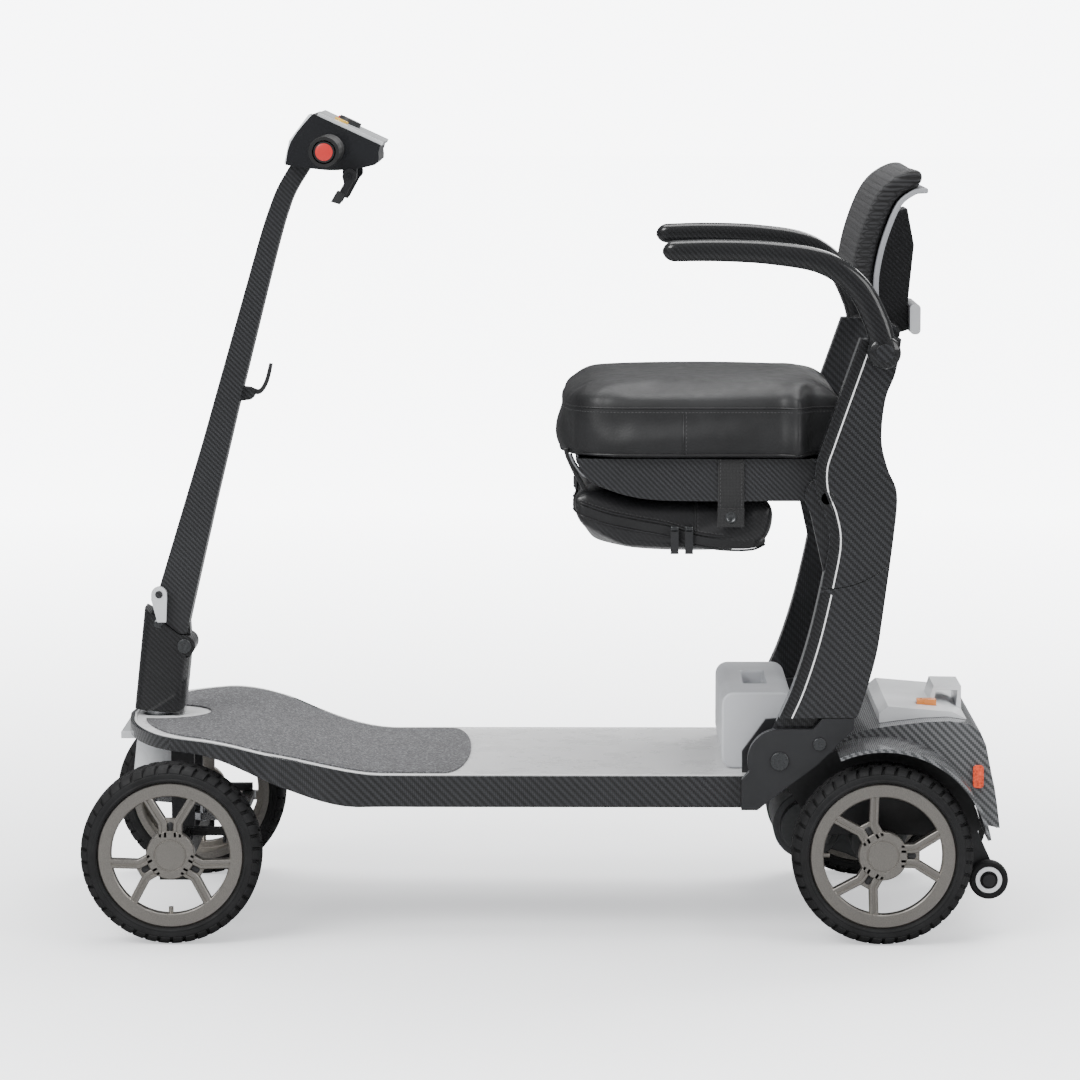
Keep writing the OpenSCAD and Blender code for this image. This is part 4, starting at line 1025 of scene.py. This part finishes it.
class SCOOTER_OT_details(Piece, bpy.types.Operator):
    """Adds the grips with their caps, the screws, the pale deck edge line, the painted highlight lines on the arms
    and the trim
    """

    bl_idname = "scooter.details"
    bl_label = "Details"

    # body: (x, distance from the middle, z, radius) of its screws, and the sides that have them
    SCREWS = {
        "chassis": ([(256, 204.6, 200, 6.2), (300, 204.6, 219, 6.2)], (-1, 1)),
        "column": ([(-446, 28, 330.5, 5.2)], (-1,)),
        "armrest_left": ([(367, 232.2, 654, 7.0)], (-1,)),
        "armrest_right": ([(367, 232.2, 654, 7.0)], (1,)),
    }

    def grips(self):
        """Grips: a turned body with flutes, its radius dipping between them, and a flared end with a
        pale ring round a red cap."""
        for s, name in ((-1, "left"), (1, "right")):
            end = np.array([HANDLEBAR[0], s * GRIP_END_Y, HANDLEBAR[1]])
            h = np.concatenate([[0.6], np.linspace(1, 104, 70), [107.5]])
            base = np.interp(h, [0, 3, 12, 22, 60, 95, 107], [16.4, 17, 16.2, 15.2, 15.8, 15.4, 17])
            a = np.linspace(0, TAU, 64, endpoint=False)
            held = (ramp(h, 14, 20) * (1 - ramp(h, 96, 101)))[:, None]
            flute = 0.45 * (0.5 + 0.5 * np.cos(16 * a))[None] * held
            ribs = 0.35 * (np.sin(h * 1.3) > 0)[:, None] * held
            r = base[:, None] - flute - ribs
            across = end[1] - s * h[:, None] + 0 * r
            grip = np.stack([end[0] + r * np.cos(a), across, end[2] + r * np.sin(a)], -1)
            faces = grid_faces(len(h), 64, wrap_cols=True).tolist() + end_faces(len(h), 64)
            piece("grip_" + name, [(grip.reshape(-1, 3), faces)], "rubber", "tiller",
                  ["handle_grips"] if s < 0 else [], 50)
            ring = [(-0.4, 13.5), (-0.4, 11), (0.6, 10.6), (0.9, 11.5), (0.9, 13), (0.5, 13.6)]
            cap = [(-0.5, 10.9), (0.2, 10.8), (0.9, 9.5), (1.3, 6), (1.4, 0)]
            base_y = end - [0, s * 1.5, 0]
            around = turned(ring, base_y, (0, s, 0), 48, True)
            piece("grip_ring_" + name, [around], "silver", "tiller")
            piece("grip_cap_" + name, [turned(cap, base_y, (0, s, 0), 48)], "red", "tiller")

    def screws(self):
        """Button-head screws, each a domed head with a round socket, and a flush cap over the hinge
        of each seat arm."""
        cap = turned([(-1.5, 7.6), (0.1, 7.6), (0.5, 7.0), (0.7, 0)],
                     (SEAT_PIVOT[0], -ARM_FACE_Y, SEAT_PIVOT[1]), (0, -1, 0), 32)
        piece("hinge_caps", both_sides([cap]), "black", "seat")
        for body, (places, sides) in self.SCREWS.items():
            heads = []
            for x, y, z, r in places:
                head = [(-1.0, r), (0.3, r), (1.1, r * 0.86), (1.6, r * 0.62), (1.75, r * 0.5),
                        (0.6, r * 0.46), (0.6, 0)]
                heads += [turned(head, (x, s * y, z), (0, s, 0), 24) for s in sides]
            piece("screws_" + body, heads, "bolt", body, (), 30)

    def build(self, sizes):
        self.grips()
        self.screws()
        self.deck_line()
        self.arm_highlight_lines()
        self.armrests()

    def deck_line(self):
        """A pale bead along the deck's upper edge."""
        edge = spline([(-480, 0), (-474, -70), (-458, -130), (-434, -180), (-398, -215), (-358, -234),
                       (-312, -235), (-274, -210), (-235, -192), (-190, -185), (-146, -185), (0, -185),
                       (240, -185)], 160)
        run = headings(edge)
        inset = edge + 6.4 * np.stack([-run[:, 1], run[:, 0]], 1)
        top = 180.1 + 44 * ramp(-edge[:, 0], 180, 390)
        bead = carried(np.column_stack([inset, top]), rounded(3.0, 1.6, 0.7))
        piece("deck_edge_line", both_sides([bead]), "white", "chassis")

    # Front edge of a seat arm: x behind the knee hinge, and height as a share of the way to the seat hinge
    ARM_EDGE = [(-16, 0.01), (-14, 0.06), (0, 0.17), (15, 0.29), (32, 0.476), (47, 0.702), (53, 0.832),
             (49, 0.925), (39, 1.02), (38, 1.12), (47, 1.22), (71, 1.455), (86, 1.6)]

    def arm_highlight_lines(self):
        """A white bead inside the front edge of each arm, a painted highlight standing in for the light on the
        glossy edge, in two pieces parted by the arm's lap, and a raised flange beside it that catches the light."""
        rise = SEAT_PIVOT[1] - KNEE[1]
        edge = np.array([(KNEE[0] + x, KNEE[1] + rise * share) for x, share in self.ARM_EDGE])
        edge = spline(edge, 200)
        run = headings(edge)
        inward = np.stack([run[:, 1], -run[:, 0]], 1)
        away = np.linalg.norm(edge - SEAT_PIVOT, axis=1)
        lines = {
            "seat_post": (away > 104) & (edge[:, 1] < SEAT_PIVOT[1]) & (edge[:, 1] > 252),
            "seat": (away < 97) | ((edge[:, 1] > SEAT_PIVOT[1]) & (edge[:, 1] < 668)),
        }
        for body, kept in lines.items():
            line = side_view((edge + 13 * inward)[kept], -ARM_FACE_Y - 0.2)
            flange = side_view((edge + 6 * inward)[kept], -ARM_FACE_Y - 0.1)
            # painted highlight: the white bead stands where the arm's glossy front edge catches the light
            bead = carried(line, circle(0.9, 8), (0, 1, 0))
            roll = carried(flange, rounded(9, 1.8, 0.8), (0, 1, 0))
            piece("arm_highlight_line_" + body, both_sides([bead]), "white", body)
            piece("arm_flange_" + body, both_sides([roll]), "carbon_black", body)

    def armrests(self):
        """An armrest: a round-cornered section carried along its curve, growing towards the hinge and
        closing to a rounded nose at the front."""
        tip = np.array([125.0, 764.0])
        curve = spline([tip, tip + [60, 1], tip + [120, -2], tip + [175, -12], tip + [212, -38],
                        tip + [233, -76], ARMREST_PIVOT], 120)
        step = np.linspace(0, 1, 120)
        nose = np.sqrt(np.clip(1 - (1 - np.clip(step / 0.045, 0.02, 1)) ** 2, 0, 1))
        grow = np.stack([nose * (1 + 0.3 * step), 0.35 + 0.65 * nose], 1)
        for s, name in ((-1, "left"), (1, "right")):
            arm = carried(side_view(curve, -218), rounded(22, 27, 7.5, 6), (0, 1, 0), grow)
            boss = turned([(-13.6, 0), (-13.6, 16), (-12, 18), (11, 18), (13.4, 15.4), (13.5, 0)],
                          (ARMREST_PIVOT[0], -218, ARMREST_PIVOT[1]), (0, -1, 0), 48)
            shapes = [arm, boss] if s < 0 else [mirrored(arm), mirrored(boss)]
            piece("armrest_form_" + name, shapes, "carbon_black", "armrest_" + name,
                  ["armrest_" + name], 50)


class SCOOTER_OT_stage(Piece, bpy.types.Operator):
    """Lays the pale floor, the soft studio lights and the camera"""

    bl_idname = "scooter.stage"
    bl_label = "Stage"

    def build(self, sizes):
        scene = bpy.context.scene
        rings, spokes = np.array([0.4, 1.2, 3, 8, 30]), 64
        a = np.linspace(0, TAU, spokes, endpoint=False)
        disc = rings[:, None, None] * np.stack([np.cos(a), np.sin(a), 0 * a], 1)
        faces = grid_faces(len(rings), spokes, wrap_cols=True).tolist() + [list(range(spokes))]
        mesh = bpy.data.meshes.new("stage_floor")
        mesh.from_pydata(disc.reshape(-1, 3).tolist(), [], faces)
        mesh.materials.append(FINISHES["floor"])
        ground = bpy.data.objects.new("stage_floor", mesh)
        scene.collection.objects.link(ground)
        for name, place, aim, size, power in (
            ("stage_key", (-2.6, -3.2, 3.6), (0, 0, 0.45), (2.6, 2.6), 210),
            ("stage_fill", (3.4, -2.6, 2.2), (0.1, 0, 0.45), (2.4, 2.4), 70),
            ("stage_top", (0.2, 0.6, 3.8), (0, 0, 0.4), (3.2, 2.4), 120),
            ("stage_rim", (1.6, 2.4, 2.6), (0, 0, 0.6), (2.0, 1.4), 80),
        ):
            light = bpy.data.lights.new(name, "AREA")
            light.shape = "RECTANGLE"
            light.size, light.size_y = size
            light.energy = power
            lamp = bpy.data.objects.new(name, light)
            lamp.location = place
            lamp.rotation_euler = (Vector(aim) - Vector(place)).to_track_quat("-Z", "Y").to_euler()
            scene.collection.objects.link(lamp)
        world = bpy.data.worlds.new("studio")
        world.use_nodes = True
        sky = world.node_tree.nodes["Background"]
        sky.inputs["Color"].default_value = BACKDROP_COLOR
        rays = world.node_tree.nodes.new("ShaderNodeLightPath")
        dim = world.node_tree.nodes.new("ShaderNodeMapRange")
        dim.inputs["To Min"].default_value = 1.0
        dim.inputs["To Max"].default_value = 0.2
        world.node_tree.links.new(rays.outputs["Is Glossy Ray"], dim.inputs["Value"])
        seen = world.node_tree.nodes.new("ShaderNodeMath")
        seen.operation = "MULTIPLY_ADD"
        seen.inputs[1].default_value = BACKDROP_GLOW
        world.node_tree.links.new(rays.outputs["Is Camera Ray"], seen.inputs[0])
        world.node_tree.links.new(dim.outputs[0], seen.inputs[2])
        world.node_tree.links.new(seen.outputs[0], sky.inputs["Strength"])
        scene.world = world
        lens = bpy.data.cameras.new("camera")
        lens.lens = 159.7
        lens.sensor_width = 36
        lens.clip_end = 40
        lens.dof.use_dof = False
        eye = bpy.data.objects.new("camera", lens)
        eye.location = (0.035, -5.445, 1.018)
        eye.rotation_euler = (math.radians(90 - 6.23), 0, math.radians(0.48))
        scene.collection.objects.link(eye)
        scene.camera = eye


class SCOOTER_PT_panel(bpy.types.Panel):
    """Sizes, colours and the buttons that build each group"""

    bl_idname = "SCOOTER_PT_panel"
    bl_label = "Scooter"
    bl_space_type = "VIEW_3D"
    bl_region_type = "UI"
    bl_category = "Scooter"

    def draw(self, context):
        layout = self.layout
        for group in (context.scene.scooter_sizes, context.scene.scooter_colors):
            for name in group.bl_rna.properties.keys():
                if name not in ("rna_type", "name"):
                    layout.prop(group, name)
        for operator in OPERATORS:
            layout.operator(operator.bl_idname)


OPERATORS = (
    SCOOTER_OT_finishes,
    SCOOTER_OT_shells,
    SCOOTER_OT_wheels,
    SCOOTER_OT_padding,
    SCOOTER_OT_straps,
    SCOOTER_OT_details,
    SCOOTER_OT_stage,
)
CLASSES = (ScooterSizes, ScooterColors, *OPERATORS, SCOOTER_PT_panel)


def register():
    for cls in CLASSES:
        bpy.utils.register_class(cls)
    bpy.types.Scene.scooter_sizes = PointerProperty(type=ScooterSizes)
    bpy.types.Scene.scooter_colors = PointerProperty(type=ScooterColors)


def unregister():
    del bpy.types.Scene.scooter_colors
    del bpy.types.Scene.scooter_sizes
    for cls in reversed(CLASSES):
        bpy.utils.unregister_class(cls)


def main():
    register()
    bpy.ops.scooter.finishes()
    bpy.ops.scooter.shells()
    bpy.ops.scooter.wheels()
    bpy.ops.scooter.padding()
    bpy.ops.scooter.straps()
    bpy.ops.scooter.details()
    bpy.ops.scooter.stage()


if __name__ == "__main__":
    main()
